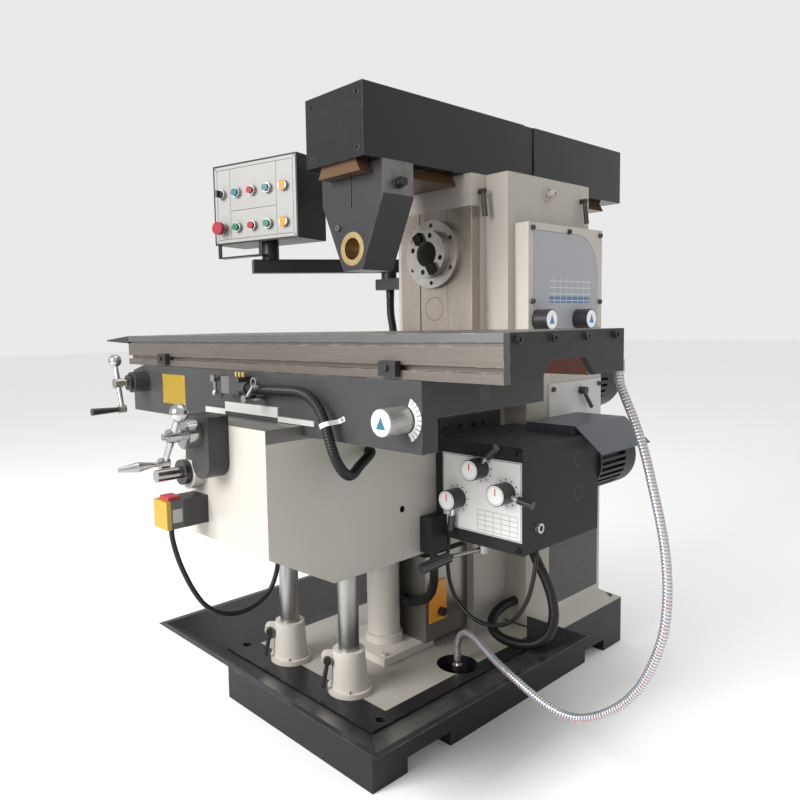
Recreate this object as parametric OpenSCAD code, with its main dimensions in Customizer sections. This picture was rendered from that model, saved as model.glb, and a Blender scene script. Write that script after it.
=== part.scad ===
// Horizontal knee-type milling machine at real size, in millimetres.
// The origin is on the floor under the spindle axis. +X is to the operator's right,
// -Y is towards the operator and +Z is up. Reaches towards the operator are given as
// positive lengths ahead of the plane y = 0, which lies in the column.

/* [Base] */
// Width of the base casting
base_w = 560; // [540:1:580]
// Reach of the base ahead of y = 0
base_front = 613; // [600:1:640]
// Reach of the base behind y = 0
base_back = 480; // [470:1:500]
// Height of the base casting
base_h = 140; // [130:1:150]
// Diameter of the anchor bolt holes
anchor_d = 24; // [18:1:28]
// Anchor bolt holes in from the base's sides
anchor_inset = 22; // [18:1:27]
// Front anchor bolt holes ahead of y = 0
anchor_front = 562; // [556:1:570]
// Rear anchor bolt holes behind y = 0
anchor_back = 440; // [435:1:448]
// Overall width of the coolant tray
tray_w = 848; // [820:1:880]
// Front rim of the tray ahead of y = 0
tray_front = 740; // [710:1:770]
// Back wall of the tray behind y = 0
tray_back = 20; // [10:1:40]
// Height of the tray's rim above the floor
tray_rim_z = 203; // [190:1:215]
// Thickness of the tray's sheet
tray_t = 5; // [3:0.5:8]

/* [Column] */
// Width of the vertical ways
ways_w = 256; // [240:1:270]
// Face of the vertical ways ahead of y = 0
ways_front = 63; // [58:1:70]
// Flare of the column's foot on each side, out to the base's edge
foot_flare = 38; // [34:1:42]
// Step from the foot part in to the head, on each side
cover_t = 44; // [40:1:48]
// Front of the foot part behind y = 0
foot_front = 85; // [80:1:95]
// Back of the column behind y = 0
column_back = 411; // [400:1:425]
// Height at which the head becomes narrower than the foot part
foot_top_z = 985; // [960:1:1000]
// Height of the spindle axis above the floor
spindle_z = 1199; // [1185:1:1210]
// Face of the spindle nose ahead of y = 0
nose_front = 100; // [96:1:106]
// Diameter of the spindle nose
nose_d = 128.57; // [120:0.01:135]
// Diameter of the bolt circle on the spindle nose
nose_pcd = 101.6; // [98:0.1:104]
// Diameter of the front bearing cover
bearing_cover_d = 186; // [178:1:196]
// Height of the main motor's axis
motor_z = 805; // [790:1:820]
// Diameter of the main motor
motor_d = 224; // [200:1:236]

/* [Over-arm] */
// Width of the over-arm
overarm_w = 208; // [196:1:220]
// Height of the over-arm
overarm_h = 171; // [160:1:185]
// Underside of the over-arm above the floor
overarm_z = 1403; // [1398:1:1412]
// Front of the over-arm ahead of y = 0
overarm_front = 435; // [425:1:450]
// Back of the over-arm behind y = 0
overarm_back = 787; // [760:1:800]
// Front of the arbor support ahead of y = 0
support_front = 379; // [375:1:385]
// Thickness of the arbor support
support_t = 108; // [100:1:114]
// Width of the arbor support at its shoulders
support_w = 220; // [212:1:230]
// Outer diameter of the arbor bush
bush_d = 84; // [78:1:90]
// Bore of the arbor bush
bush_bore_d = 55; // [48:1:60]

/* [Knee] */
// Width of the knee
knee_w = 330; // [322:1:338]
// Front of the knee ahead of y = 0
knee_front = 785; // [775:1:800]
// Top of the knee's ways above the floor
knee_top_z = 799; // [797:1:801]
// Underside of the knee above the floor
knee_low_z = 436; // [426:1:446]
// Lower edge of the knee's front above the floor
knee_lip_z = 530; // [515:1:545]
// Distance ahead of y = 0 at which the sloping underside ends
knee_heel = 608; // [595:1:620]
// Diameter of the two support posts
post_d = 50; // [44:1:52]
// Half the spacing of the support posts
post_x = 114; // [111:1:117]
// Support posts ahead of y = 0
post_front = 523; // [515:1:530]
// Lower end of the support posts above the floor
post_low_z = 175; // [172:1:180]
// Height of the post cups
cup_h = 103; // [95:1:108]
// Diameter of the lifting screw's tube
tube_d = 88; // [80:1:92]
// Axis of the lifting screw ahead of y = 0
tube_front = 290; // [288:1:296]
// Top of the lifting screw's tube above the floor
tube_top_z = 570; // [555:1:580]
// Width of the feed box
feed_box_w = 255; // [250:1:262]
// Front of the feed box ahead of y = 0
feed_box_front = 261; // [255:1:268]
// Back of the feed box behind y = 0
feed_box_back = 70; // [62:1:74]
// Underside of the feed box above the floor
feed_box_z = 475; // [465:1:485]
// Top of the feed box above the floor
feed_box_top_z = 723; // [715:1:728]
// Diameter of the feed motor
feed_motor_d = 168; // [150:1:172]

/* [Saddle and table] */
// Left end of the saddle
saddle_left = 623; // [610:1:635]
// Right end of the saddle
saddle_right = 496; // [490:1:505]
// Front of the saddle ahead of y = 0
saddle_front = 684; // [683:1:690]
// Underside of the saddle's apron above the floor
saddle_z = 776; // [772:1:779]
// Thickness of the saddle's apron
apron_t = 42; // [36:1:48]
// Left end of the table
table_left = 654; // [640:1:670]
// Right end of the table
table_right = 665; // [650:1:670]
// Front of the table ahead of y = 0
table_front = 681; // [676:1:682]
// Width of the table
table_w = 365; // [355:1:370]
// Top of the table above the floor
table_z = 991; // [986:1:996]
// Thickness of the table
table_t = 83; // [80:1:86]
// Width of the table's T-slots
tslot_w = 18; // [14:1:20]
// Spacing of the table's T-slots
tslot_pitch = 90; // [80:1:95]
// Diameter of the table's feed screw
table_screw_d = 34; // [28:1:36]

/* [Controls] */
// Width of the pendant box
pendant_w = 312; // [300:1:330]
// Height of the pendant box
pendant_h = 235; // [225:1:250]
// Depth of the pendant box
pendant_d = 142; // [130:1:150]
// Underside of the pendant box above the floor
pendant_z = 1259; // [1252:1:1264]
// Length of the pendant's arm between its two pivots
arm_l = 378; // [370:1:390]
// Section of the pendant's arm
arm_t = 40; // [34:1:44]
// Diameter of the push buttons
button_d = 21; // [18:0.5:24]
// Travel of the push buttons
button_travel = 5; // [3:0.5:6]
// Diameter of the knobs on the feed box
feed_knob_d = 50; // [44:1:54]
// Diameter of the speed knobs on the column
speed_knob_d = 56; // [50:1:60]

/* [Hidden] */

$fn = 48;

// Clearances: flat slides, running fits, pressed seats, and the overrun of every cut.
gap = 0.3;
fit = 0.05;
over = 1;

// Colours as the machine shows them.
cream = "#d9d3c4";
charcoal = "#3b3d40";
dark = "#2a2c2f";
iron = "#a79e92";
steel = "#b8bcc0";
black = "#17181a";
white = "#e6e6e2";

// Block between two corners, and rods along the three axes.
module block(x0, x1, y0, y1, z0, z1) {
  translate([x0, y0, z0]) cube([x1 - x0, y1 - y0, z1 - z0]);
}
module rod_x(x0, x1, y, z, r) {
  translate([x0, y, z]) rotate([0, 90, 0]) cylinder(h = x1 - x0, r = r);
}
module rod_y(y0, y1, x, z, r) {
  translate([x, y0, z]) rotate([-90, 0, 0]) cylinder(h = y1 - y0, r = r);
}
module rod_z(z0, z1, x, y, r) {
  translate([x, y, z0]) cylinder(h = z1 - z0, r = r);
}
// Round bar from point a to point b, tapering from radius ra to rb.
module bar(a, b, ra, rb) {
  v = b - a;
  translate(a) rotate([0, acos(v[2] / norm(v)), atan2(v[1], v[0])])
    cylinder(h = norm(v), r1 = ra, r2 = rb);
}
// Socket head screws seated on a face that looks along -Y or along +X.
screw_r = 7;
screw_h = 7;
socket_r = 4;
socket_deep = 4;
module screw_y(x, y, z) {
  translate([x, y, z]) rotate([90, 0, 0]) socket_screw();
}
module screw_x(x, y, z) {
  translate([x, y, z]) rotate([0, 90, 0]) socket_screw();
}
module socket_screw() {
  difference() {
    cylinder(h = screw_h, r = screw_r);
    translate([0, 0, screw_h - socket_deep]) cylinder(h = socket_deep + over, r = socket_r, $fn = 6);
  }
}

// Base: one casting with two cross channels under it, a sump pit and two post wells.
anchor_dx = base_w - 2 * anchor_inset;
foot_w = base_w - 2 * foot_flare;
head_w = foot_w - 2 * cover_t;
channel_h = 36;
front_channel = [-502, -351];
rear_channel = [265, 374];
pit_inset = 71;
pit_x = base_w / 2 - pit_inset;
pit_front = 236;
pit_r = 52;
pit_deep = 60;
well_floor_z = 8;
hose_r = 9;
nipple_r = 6;
nipple_top_z = base_h + 10;
nipple_nut_r = 14;
nipple_nut_h = 16;
module anchor_holes(z0, z1, y) {
  for (side = [-1, 1]) rod_z(z0, z1, side * anchor_dx / 2, y, anchor_d / 2);
}
module base_casting() color(cream) {
  pit_floor_z = base_h - pit_deep;
  difference() {
    block(-base_w / 2, base_w / 2, -base_front, base_back, 0, base_h);
    for (c = [front_channel, rear_channel])
      block(-base_w / 2 - over, base_w / 2 + over, c[0], c[1], -over, channel_h);
    rod_z(pit_floor_z, base_h + over, pit_x, -pit_front, pit_r);
    for (side = [-1, 1])
      rod_z(well_floor_z, base_h + over, side * post_x, -post_front, post_d / 2 + gap);
    anchor_holes(-over, base_h + over, -anchor_front);
    anchor_holes(-over, base_h + over, anchor_back);
  }
  rod_z(pit_floor_z, nipple_top_z, pit_x, -pit_front, nipple_r);
  difference() {
    translate([pit_x, -pit_front, base_h - nipple_nut_h])
      cylinder(h = nipple_nut_h, r = nipple_nut_r, $fn = 6);
    rod_z(pit_floor_z, base_h + over, pit_x, -pit_front, nipple_r);
  }
}

// Coolant tray: sheet that flares from the base's upper edge to the rim, closed at the back.
tray_low_z = base_h - 12;
module tray_form(inset, drop) {
  hull() {
    block(-base_w / 2 + inset, base_w / 2 - inset, -base_front + inset, tray_back - inset,
      tray_low_z + drop, tray_low_z + drop + over);
    block(-tray_w / 2 + inset, tray_w / 2 - inset, -tray_front + inset, tray_back - inset,
      tray_rim_z + drop, tray_rim_z + drop + over);
  }
}
module coolant_tray() color(dark) difference() {
  tray_form(0, -over);
  tray_form(tray_t, tray_t);
  block(-tray_w, tray_w, -base_front, base_back, 0, tray_low_z + tray_t);
  block(-base_w / 2, base_w / 2, -base_front, base_back, 0, base_h);
  block(-foot_w / 2 - tray_t, foot_w / 2 + tray_t, -base_front, base_back, 0, tray_rim_z + base_h);
}

// Column: ways block in front, a wide foot part and a head that carries the over-arm.
cavity_x = 100;
cavity_front = 75;
cavity_back = 345;
cavity_z = [190, 1335];
head_z = 800;
foot_flare_h = 35;
foot_chamfer = 44;
front_bearing_r = 75;
front_bearing_y = [-45, 5];
spindle_front_r = 50;
spindle_mid_r = 42;
spindle_rear_r = 35;
rear_bearing_r = 55;
rear_bearing_y = [355, 395];
shaft_r = 19;
dove_top_w = 124;
dove_low_w = 152;
dove_h = 28;
column_top_z = overarm_z - gap;
module dovetail(y0, y1, grow) {
  translate([0, y1, overarm_z]) rotate([90, 0, 0]) linear_extrude(y1 - y0)
    polygon([[-dove_top_w / 2 - grow, over], [-dove_top_w / 2 - grow, 0],
      [-dove_low_w / 2 - grow, -dove_h - grow], [dove_low_w / 2 + grow, -dove_h - grow],
      [dove_top_w / 2 + grow, 0], [dove_top_w / 2 + grow, over]]);
}
module column() color(cream) difference() {
  union() {
    block(-ways_w / 2, ways_w / 2, -ways_front, column_back, base_h, column_top_z);
    block(-head_w / 2, head_w / 2, 0, column_back, head_z, column_top_z);
    translate([0, 0, base_h]) linear_extrude(foot_top_z - base_h)
      polygon([[-foot_w / 2 + foot_chamfer, foot_front], [foot_w / 2 - foot_chamfer, foot_front],
        [foot_w / 2, foot_front + foot_chamfer], [foot_w / 2, column_back],
        [-foot_w / 2, column_back], [-foot_w / 2, foot_front + foot_chamfer]]);
    hull() {
      block(-foot_w / 2 - foot_flare, foot_w / 2 + foot_flare, foot_front + foot_chamfer,
        base_back, base_h, base_h + over);
      block(-foot_w / 2, foot_w / 2, foot_front + foot_chamfer, column_back,
        base_h, base_h + foot_flare_h);
    }
  }
  block(-cavity_x, cavity_x, cavity_front, cavity_back, cavity_z[0], cavity_z[1]);
  dovetail(-ways_front - over, column_back + over, gap);
  rod_y(-ways_front - over, cavity_front + over, 0, spindle_z, nose_d / 2 + gap);
  rod_y(front_bearing_y[0], cavity_front + over, 0, spindle_z, front_bearing_r + fit);
  rod_y(cavity_back - over, column_back + over, 0, spindle_z, rear_bearing_r + fit);
  rod_y(cavity_back - over, column_back + over, 0, motor_z, shaft_r + fit);
  anchor_holes(base_h - over, foot_top_z, anchor_back);
  block(foot_w / 2 - over - gap, foot_w, foot_front, base_back + over, foot_top_z - over, foot_top_z);
  rod_x(0, head_w, lever_front_y, lever_z, lever_pin_r + fit);
  rod_x(foot_w / 2 - lever_pin_l, foot_w, panel_lever_y, panel_lever_z, lever_pin_r + fit);
  rod_x(cavity_x, head_w, lever_rear_y, lever_z, lever_pin_r + fit);
}

// Side cover over the speed gears, rear lower panel, left cabinet door and their screws.
cover_front = 29;
cover_top_z = 1269;
cover_wall = 6;
speed_knob_y = [72, 275];
speed_knob_z = 1010;
speed_pin_r = 8;
panel_t = 4;
panel_y = [125, 405];
panel_z = [690, 833];
door_y = [120, 390];
door_z = [250, 900];
cover_screws = [[45, 1254], [225, 1254], [396, 1254], [45, 1060], [396, 1060]];
panel_screw_margin = 16;
module column_fittings() {
  arm_bracket();
  color(cream) difference() {
    block(head_w / 2, foot_w / 2, cover_front, column_back, foot_top_z, cover_top_z);
    block(head_w / 2 - over, foot_w / 2 - cover_wall, cover_front + cover_wall,
      column_back - cover_wall, foot_top_z + cover_wall, cover_top_z - cover_wall);
    for (y = speed_knob_y) rod_x(head_w / 2, foot_w, y, speed_knob_z, speed_pin_r + fit);
  }
  color(white) difference() {
    block(foot_w / 2, foot_w / 2 + panel_t, panel_y[0], panel_y[1], panel_z[0], panel_z[1]);
    rod_x(head_w / 2, foot_w, panel_lever_y, panel_lever_z, lever_pin_r + fit);
  }
  color(cream) block(-foot_w / 2 - panel_t, -foot_w / 2, door_y[0], door_y[1], door_z[0], door_z[1]);
  color(black) for (s = cover_screws) screw_x(foot_w / 2, s[0], s[1]);
  color(black) for (y = panel_y, z = panel_z)
    screw_x(foot_w / 2 + panel_t, y + sign(panel_y[0] + over - y) * panel_screw_margin,
      z + sign(panel_z[0] + over - z) * panel_screw_margin);
}

// Gear range lever on the lower panel: hub, pin into the column and a hanging arm.
panel_lever_y = 287;
panel_lever_z = 804;
panel_arm = [38, -51];
panel_hub_r = 11;
module panel_lever() color(black) {
  face = foot_w / 2 + panel_t + gap;
  hub = [face + lever_stand / 2, panel_lever_y, panel_lever_z];
  rod_x(face, face + lever_stand, panel_lever_y, panel_lever_z, panel_hub_r);
  rod_x(foot_w / 2 - lever_pin_l + over, face + over, panel_lever_y, panel_lever_z, lever_pin_r);
  bar(hub, hub + [lever_stand / 4, panel_arm[0], panel_arm[1]], lever_tip_r, lever_tip_r + over);
}

// Bearing cover: ring on the ways around the spindle nose, with six screw holes.
cover_ring_t = 17;
cover_ring_pcd = 158;
cover_hole_r = 6;
cover_holes = 6;
module bearing_cover() color(steel) difference() {
  rod_y(-ways_front - cover_ring_t, -ways_front, 0, spindle_z, bearing_cover_d / 2);
  rod_y(-ways_front - cover_ring_t - over, over, 0, spindle_z, nose_d / 2 + gap);
  for (i = [0 : cover_holes - 1]) rotate_about_spindle(i * 360 / cover_holes)
    rod_y(-ways_front - cover_ring_t - over, -ways_front + over, 0, spindle_z + cover_ring_pcd / 2,
        cover_hole_r);
}
module rotate_about_spindle(a) {
  translate([0, 0, spindle_z]) rotate([0, a, 0]) translate([0, 0, -spindle_z]) children();
}

// Two roller bearings as plain rings.
module spindle_bearings() color(steel) {
  bearing_cover();
  difference() {
    rod_y(front_bearing_y[0], front_bearing_y[1], 0, spindle_z, front_bearing_r);
    rod_y(front_bearing_y[0] - over, front_bearing_y[1] + over, 0, spindle_z, spindle_front_r + fit);
  }
  difference() {
    rod_y(rear_bearing_y[0], rear_bearing_y[1], 0, spindle_z, rear_bearing_r);
    rod_y(rear_bearing_y[0] - over, rear_bearing_y[1] + over, 0, spindle_z, spindle_rear_r + fit);
  }
}

// Spindle: nose with a 7:24 taper, four tapped holes and two driving keys.
spindle_end_y = 405;
taper_d = 69.85;
taper_l = 101.8;
taper_share = 7 / 24;
drawbar_r = 14;
nose_hole_r = 7;
nose_hole_deep = 30;
nose_hole_turn = 15;
key_w = 25.4;
key_proud = 12;
key_reach = 62;
key_turn = 60;
module spindle() {
  spindle_pulley();
  color(steel) difference() {
    union() {
      rod_y(-nose_front, front_bearing_y[0], 0, spindle_z, nose_d / 2);
      rod_y(front_bearing_y[0] - over, front_bearing_y[1], 0, spindle_z, spindle_front_r);
      rod_y(front_bearing_y[1] - over, rear_bearing_y[0], 0, spindle_z, spindle_mid_r);
      rod_y(rear_bearing_y[0] - over, spindle_end_y, 0, spindle_z, spindle_rear_r);
    }
    translate([0, -nose_front, spindle_z]) rotate([-90, 0, 0])
      cylinder(h = taper_l, r1 = taper_d / 2, r2 = (taper_d - taper_l * taper_share) / 2);
    rod_y(-nose_front - over, spindle_end_y + over, 0, spindle_z, drawbar_r);
    for (i = [0 : 3]) rotate_about_spindle(nose_hole_turn + 90 * i)
      rod_y(-nose_front - over, -nose_front + nose_hole_deep, 0, spindle_z + nose_pcd / 2, nose_hole_r);
  }
  color(black) for (i = [0, 1]) rotate_about_spindle(key_turn + 180 * i + 90)
    block(-key_w / 2, key_w / 2, -nose_front - key_proud, -nose_front,
      spindle_z + taper_d / 2 + over, spindle_z + key_reach);
}

// Belt drive inside the column from the motor's shaft to the spindle.
belt_y = [250, 300];
big_pulley_r = 78;
small_pulley_r = 50;
belt_t = 8;
pulley_flange = 4;
module spindle_pulley() color(charcoal) difference() {
  union() {
    rod_y(belt_y[0], belt_y[1], 0, spindle_z, big_pulley_r);
    rod_y(belt_y[1], belt_y[1] + pulley_flange, 0, spindle_z, big_pulley_r + belt_t);
  }
  rod_y(belt_y[0] - over, belt_y[1] + pulley_flange + over, 0, spindle_z, spindle_mid_r);
}
motor_shaft_y = [230, 560];
module motor_pulley() color(charcoal) {
  rod_y(belt_y[0], belt_y[1], 0, motor_z, small_pulley_r);
  rod_y(belt_y[1], belt_y[1] + pulley_flange, 0, motor_z, small_pulley_r + belt_t);
  rod_y(motor_shaft_y[0], belt_y[0], 0, motor_z, shaft_r);
  rod_y(belt_y[1] + pulley_flange, motor_shaft_y[1], 0, motor_z, shaft_r);
}
// The belt's two straight runs are tangents, so its outline leans by this angle.
belt_lean = asin((big_pulley_r - small_pulley_r) / (spindle_z - motor_z));
belt_steps = 24;
function belt_arc(r, z, from, to) = [for (i = [0 : belt_steps])
  let (a = from + (to - from) * i / belt_steps) [r * cos(a), z + r * sin(a)]];
module belt_outline(grow) polygon(concat(
  belt_arc(big_pulley_r + grow, spindle_z, -belt_lean, 180 + belt_lean),
  belt_arc(small_pulley_r + grow, motor_z, 180 + belt_lean, 360 - belt_lean)));
module drive_belt() color(black)
  translate([0, belt_y[1] - gap, 0]) rotate([90, 0, 0]) linear_extrude(belt_y[1] - belt_y[0] - gap)
    difference() {
      belt_outline(belt_t - gap);
      belt_outline(gap);
    }

// Main motor on the column's back: finned body, fan cowl, terminal box and a shaft bore.
motor_back = 800;
motor_flange_t = 24;
motor_flange_r = motor_d / 2 + 16;
cowl_l = 90;
fin_count = 32;
fin_h = 12;
slot_w = 9;
fin_end = 6;
terminal = [90, 70, 60];
module finned_body(r, y0, y1) difference() {
  rod_y(y0, y1, 0, 0, r);
  for (i = [0 : fin_count - 1]) rotate([0, i * 360 / fin_count, 0])
    block(-slot_w / 2, slot_w / 2, y0 + fin_end, y1 - fin_end, r - fin_h, r + fin_h);
}
module main_motor() color(dark) difference() {
  translate([0, 0, motor_z]) {
    rod_y(column_back, column_back + motor_flange_t, 0, 0, motor_flange_r);
    finned_body(motor_d / 2, column_back + motor_flange_t, motor_back - cowl_l);
    rod_y(motor_back - cowl_l, motor_back, 0, 0, motor_d / 2);
    block(-terminal[0] / 2, terminal[0] / 2, column_back + terminal[1], column_back + 2 * terminal[1],
      motor_d / 2 - fin_h, motor_d / 2 + terminal[2]);
  }
  rod_y(column_back - over, motor_shaft_y[1] + over, 0, motor_z, shaft_r + fit);
}

// Tube and nut of the lifting screw, standing on a square plate on the base.
tube_plate_w = 190;
tube_plate_t = 20;
tube_flange_r = 51;
tube_flange_t = 22;
tube_bore_r = 30;
screw_lift_r = 22;
nut_l = 60;
plate_screw_inset = 18;
module screw_tube() color(cream) difference() {
  union() {
    block(-tube_plate_w / 2, tube_plate_w / 2, -tube_front - tube_plate_w / 2, -tube_front
        + tube_plate_w / 2,
      base_h, base_h + tube_plate_t);
    rod_z(base_h + tube_plate_t, base_h + tube_plate_t + tube_flange_t, 0, -tube_front, tube_flange_r);
    rod_z(base_h + tube_plate_t, tube_top_z, 0, -tube_front, tube_d / 2);
    for (x = [-1, 1], y = [-1, 1]) translate([x * (tube_plate_w / 2 - plate_screw_inset),
      y * (tube_plate_w / 2 - plate_screw_inset) - tube_front, base_h + tube_plate_t])
      socket_screw();
  }
  rod_z(base_h + tube_plate_t, tube_top_z - nut_l, 0, -tube_front, tube_bore_r);
  rod_z(base_h + tube_plate_t, tube_top_z + over, 0, -tube_front, screw_lift_r + fit);
}

// Post cups: flared sleeves with a split ear for the clamp lever.
cup_top_r = 38;
cup_low_r = 46;
cup_foot_r = 53;
cup_foot_h = 12;
ear_reach = 52;
ear_r = 14;
ear_t = 24;
ear_slit = 3;
ear_drop = 22;
ear_turn = 229;
ear_pin_r = 5;
ear_z = base_h + cup_h - ear_drop;
module at_post(side) {
  translate([side * post_x, -post_front, 0]) rotate([0, 0, ear_turn]) children();
}
module post_cups() color(cream) for (side = [-1, 1]) at_post(side) difference() {
  union() {
    translate([0, 0, base_h]) cylinder(h = cup_h, r1 = cup_low_r, r2 = cup_top_r);
    rod_z(base_h, base_h + cup_foot_h, 0, 0, cup_foot_r);
    rod_y(-ear_t / 2, ear_t / 2, ear_reach, ear_z, ear_r);
    block(cup_top_r - ear_r, ear_reach, -ear_t / 2, ear_t / 2, ear_z - ear_r, ear_z + ear_r);
    rotate([0, 0, -ear_turn]) for (a = [45 : 90 : 315]) rotate([0, 0, a])
      translate([cup_foot_r - screw_r, 0, base_h + cup_foot_h]) cylinder(h = screw_h, r = screw_r / 2);
  }
  rod_z(base_h - over, base_h + cup_h + over, 0, 0, post_d / 2 + fit);
  block(0, ear_reach + ear_r + over, -ear_slit / 2, ear_slit / 2, ear_z - ear_r - over, base_h
      + cup_h + over);
  rod_y(-ear_t, ear_t, ear_reach, ear_z, ear_pin_r + fit);
}
// Clamp lever of a post: a pin through the ear, a hub and a lever that hangs down.
post_lever_l = 62;
hub_r = 9;
hub_t = 12;
lever_tip_r = 5;
module post_lever(side) at_post(side) {
  color(steel) rod_y(-ear_t / 2, ear_t / 2 + gap, ear_reach, ear_z, ear_pin_r);
  color(steel) rod_y(ear_t / 2 + gap, ear_t / 2 + gap + hub_t, ear_reach, ear_z, hub_r);
  color(black) bar([ear_reach, ear_t / 2 + hub_t / 2, ear_z - hub_r / 2],
    [ear_reach + hub_t, ear_t / 2 + hub_t, ear_z - post_lever_l], lever_tip_r, lever_tip_r + over);
}
module post_lever_left() post_lever(-1);
module post_lever_right() post_lever(1);

// Sheet guard over the lower ways, standing on the base in front of the column.
guard_w = 210;
guard_front = 238;
guard_top_z = 392;
guard_low_z = base_h + tube_plate_t;
guard_t = 3;
guard_cover = [70, 110];
guard_plug_r = 12;
module way_guard() {
  color(steel) difference() {
    block(-guard_w / 2, guard_w / 2, -guard_front, -ways_front, guard_low_z, guard_top_z);
    block(-guard_w / 2 + guard_t, guard_w / 2 - guard_t, -guard_front + guard_t, -ways_front + over,
      guard_low_z - over, guard_top_z - guard_t);
  }
  color("orange") block(guard_w / 2, guard_w / 2 + guard_t, -guard_front + guard_plug_r,
    -guard_front + guard_plug_r + guard_cover[0], base_h + guard_cover[0], base_h + guard_cover[0]
        + guard_cover[1]);
  color(black) rod_x(guard_w / 2 + guard_t, guard_w / 2 + guard_t + guard_plug_r,
    -guard_front + guard_cover[0] - guard_plug_r, base_h + guard_cover[0] + guard_plug_r * 2,
        guard_plug_r);
}

// Bracket on the column's left side, with the pivot hole of the pendant's arm.
pivot_reach = 67;
pivot_x = -head_w / 2 - pivot_reach;
pivot_y = 25;
pivot_r = 12;
bracket_z = [1116, 1150];
bracket_y = [0, 62];
bracket_edge = 36;
module arm_bracket() color(dark) difference() {
  block(pivot_x - bracket_edge, -head_w / 2, bracket_y[0], bracket_y[1], bracket_z[0], bracket_z[1]);
  rod_z(bracket_z[0] - over, bracket_z[1] + over, pivot_x, pivot_y, pivot_r + fit);
}

// Over-arm: hollow beam with a dovetail, a shallow groove and a screwed front plate.
arm_wall = 24;
groove_y = [215, 267];
groove_deep = 4;
plate_t = 14;
plate_screw_edge = 22;
dove_back_cut = 60;
module overarm() {
  color(charcoal) difference() {
    union() {
      block(-overarm_w / 2, overarm_w / 2, -overarm_front + plate_t, overarm_back, overarm_z,
          overarm_z + overarm_h);
      dovetail(-overarm_front + plate_t, overarm_back - dove_back_cut, 0);
    }
    block(-overarm_w / 2 + arm_wall, overarm_w / 2 - arm_wall, -overarm_front + plate_t + arm_wall,
      overarm_back - arm_wall, overarm_z + arm_wall, overarm_z + overarm_h - arm_wall);
    for (side = [-1, 1]) block(side * overarm_w / 2 - groove_deep, side * overarm_w / 2 + groove_deep,
      groove_y[0], groove_y[1], overarm_z - over, overarm_z + overarm_h + over);
  }
  color(charcoal) difference() {
    block(-overarm_w / 2, overarm_w / 2, -overarm_front, -overarm_front + plate_t, overarm_z,
        overarm_z + overarm_h);
    for (x = [-1, 1], z = [0, 1]) rod_y(-overarm_front - over, -overarm_front + screw_h,
      x * (overarm_w / 2 - plate_screw_edge),
      overarm_z + plate_screw_edge + z * (overarm_h - 2 * plate_screw_edge), screw_r + gap);
  }
  color(black) for (x = [-1, 1], z = [0, 1]) screw_y(x * (overarm_w / 2 - plate_screw_edge),
    -overarm_front + screw_h, overarm_z + plate_screw_edge + z * (overarm_h - 2 * plate_screw_edge));
}

// Arbor support: tapering hanger clamped on the dovetail, split above its bush.
support_top_z = overarm_z - gap;
support_shoulder_z = 1316;
support_low_z = 1145;
support_low_w = 70;
slit_w = 3;
slit_low_z = 1300;
clamp_bolt = [-48, 1255];
clamp_bolt_r = 11;
clamp_nut_z = 1350;
clamp_nut_r = 15;
clamp_nut_l = 22;
module arbor_support() {
  support_back = -support_front + support_t;
  color(charcoal) difference() {
    translate([0, support_back, 0]) rotate([90, 0, 0]) linear_extrude(support_t)
      polygon([[-support_w / 2, support_top_z], [support_w / 2, support_top_z],
        [support_w / 2, support_shoulder_z], [support_low_w / 2, support_low_z],
        [-support_low_w / 2, support_low_z], [-support_w / 2, support_shoulder_z]]);
    dovetail(-support_front - over, support_back + over, gap);
    rod_y(-support_front - over, support_back + over, 0, spindle_z, bush_d / 2);
    block(-slit_w / 2, slit_w / 2, -support_front - over, support_back + over, slit_low_z, overarm_z);
  }
  color(steel) screw_y(clamp_bolt[0], -support_front, clamp_bolt[1]);
  color(steel) translate([support_w / 2, -support_front + support_t / 2, clamp_nut_z]) rotate([0, 90,
      0]) {
    cylinder(h = clamp_nut_l / 2, r = clamp_nut_r, $fn = 6);
    cylinder(h = clamp_nut_l, r = clamp_bolt_r);
  }
}
module arbor_bush() color("#b08d3c") difference() {
  rod_y(-support_front - over, -support_front + support_t + over, 0, spindle_z, bush_d / 2);
  rod_y(-support_front - 2 * over, -support_front + support_t + 2 * over, 0, spindle_z,
      bush_bore_d / 2);
}
// Clamp levers of the over-arm: a pin into the column and a lever hanging down.
lever_front_y = -30;
lever_rear_y = 365;
lever_z = 1356;
lever_pin_r = 7;
lever_pin_l = 26;
lever_stand = 20;
lever_l = 66;
module hanging_lever(x, y) {
  color(black) rod_x(x - lever_pin_l, x + lever_stand, y, lever_z, lever_pin_r);
  color(black) bar([x + lever_stand - lever_pin_r, y, lever_z], [x + lever_stand, y, lever_z - lever_l],
    lever_pin_r - over, lever_pin_r);
}
module overarm_lever_front() hanging_lever(ways_w / 2, lever_front_y);
module overarm_lever_rear() hanging_lever(head_w / 2, lever_rear_y);

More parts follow.
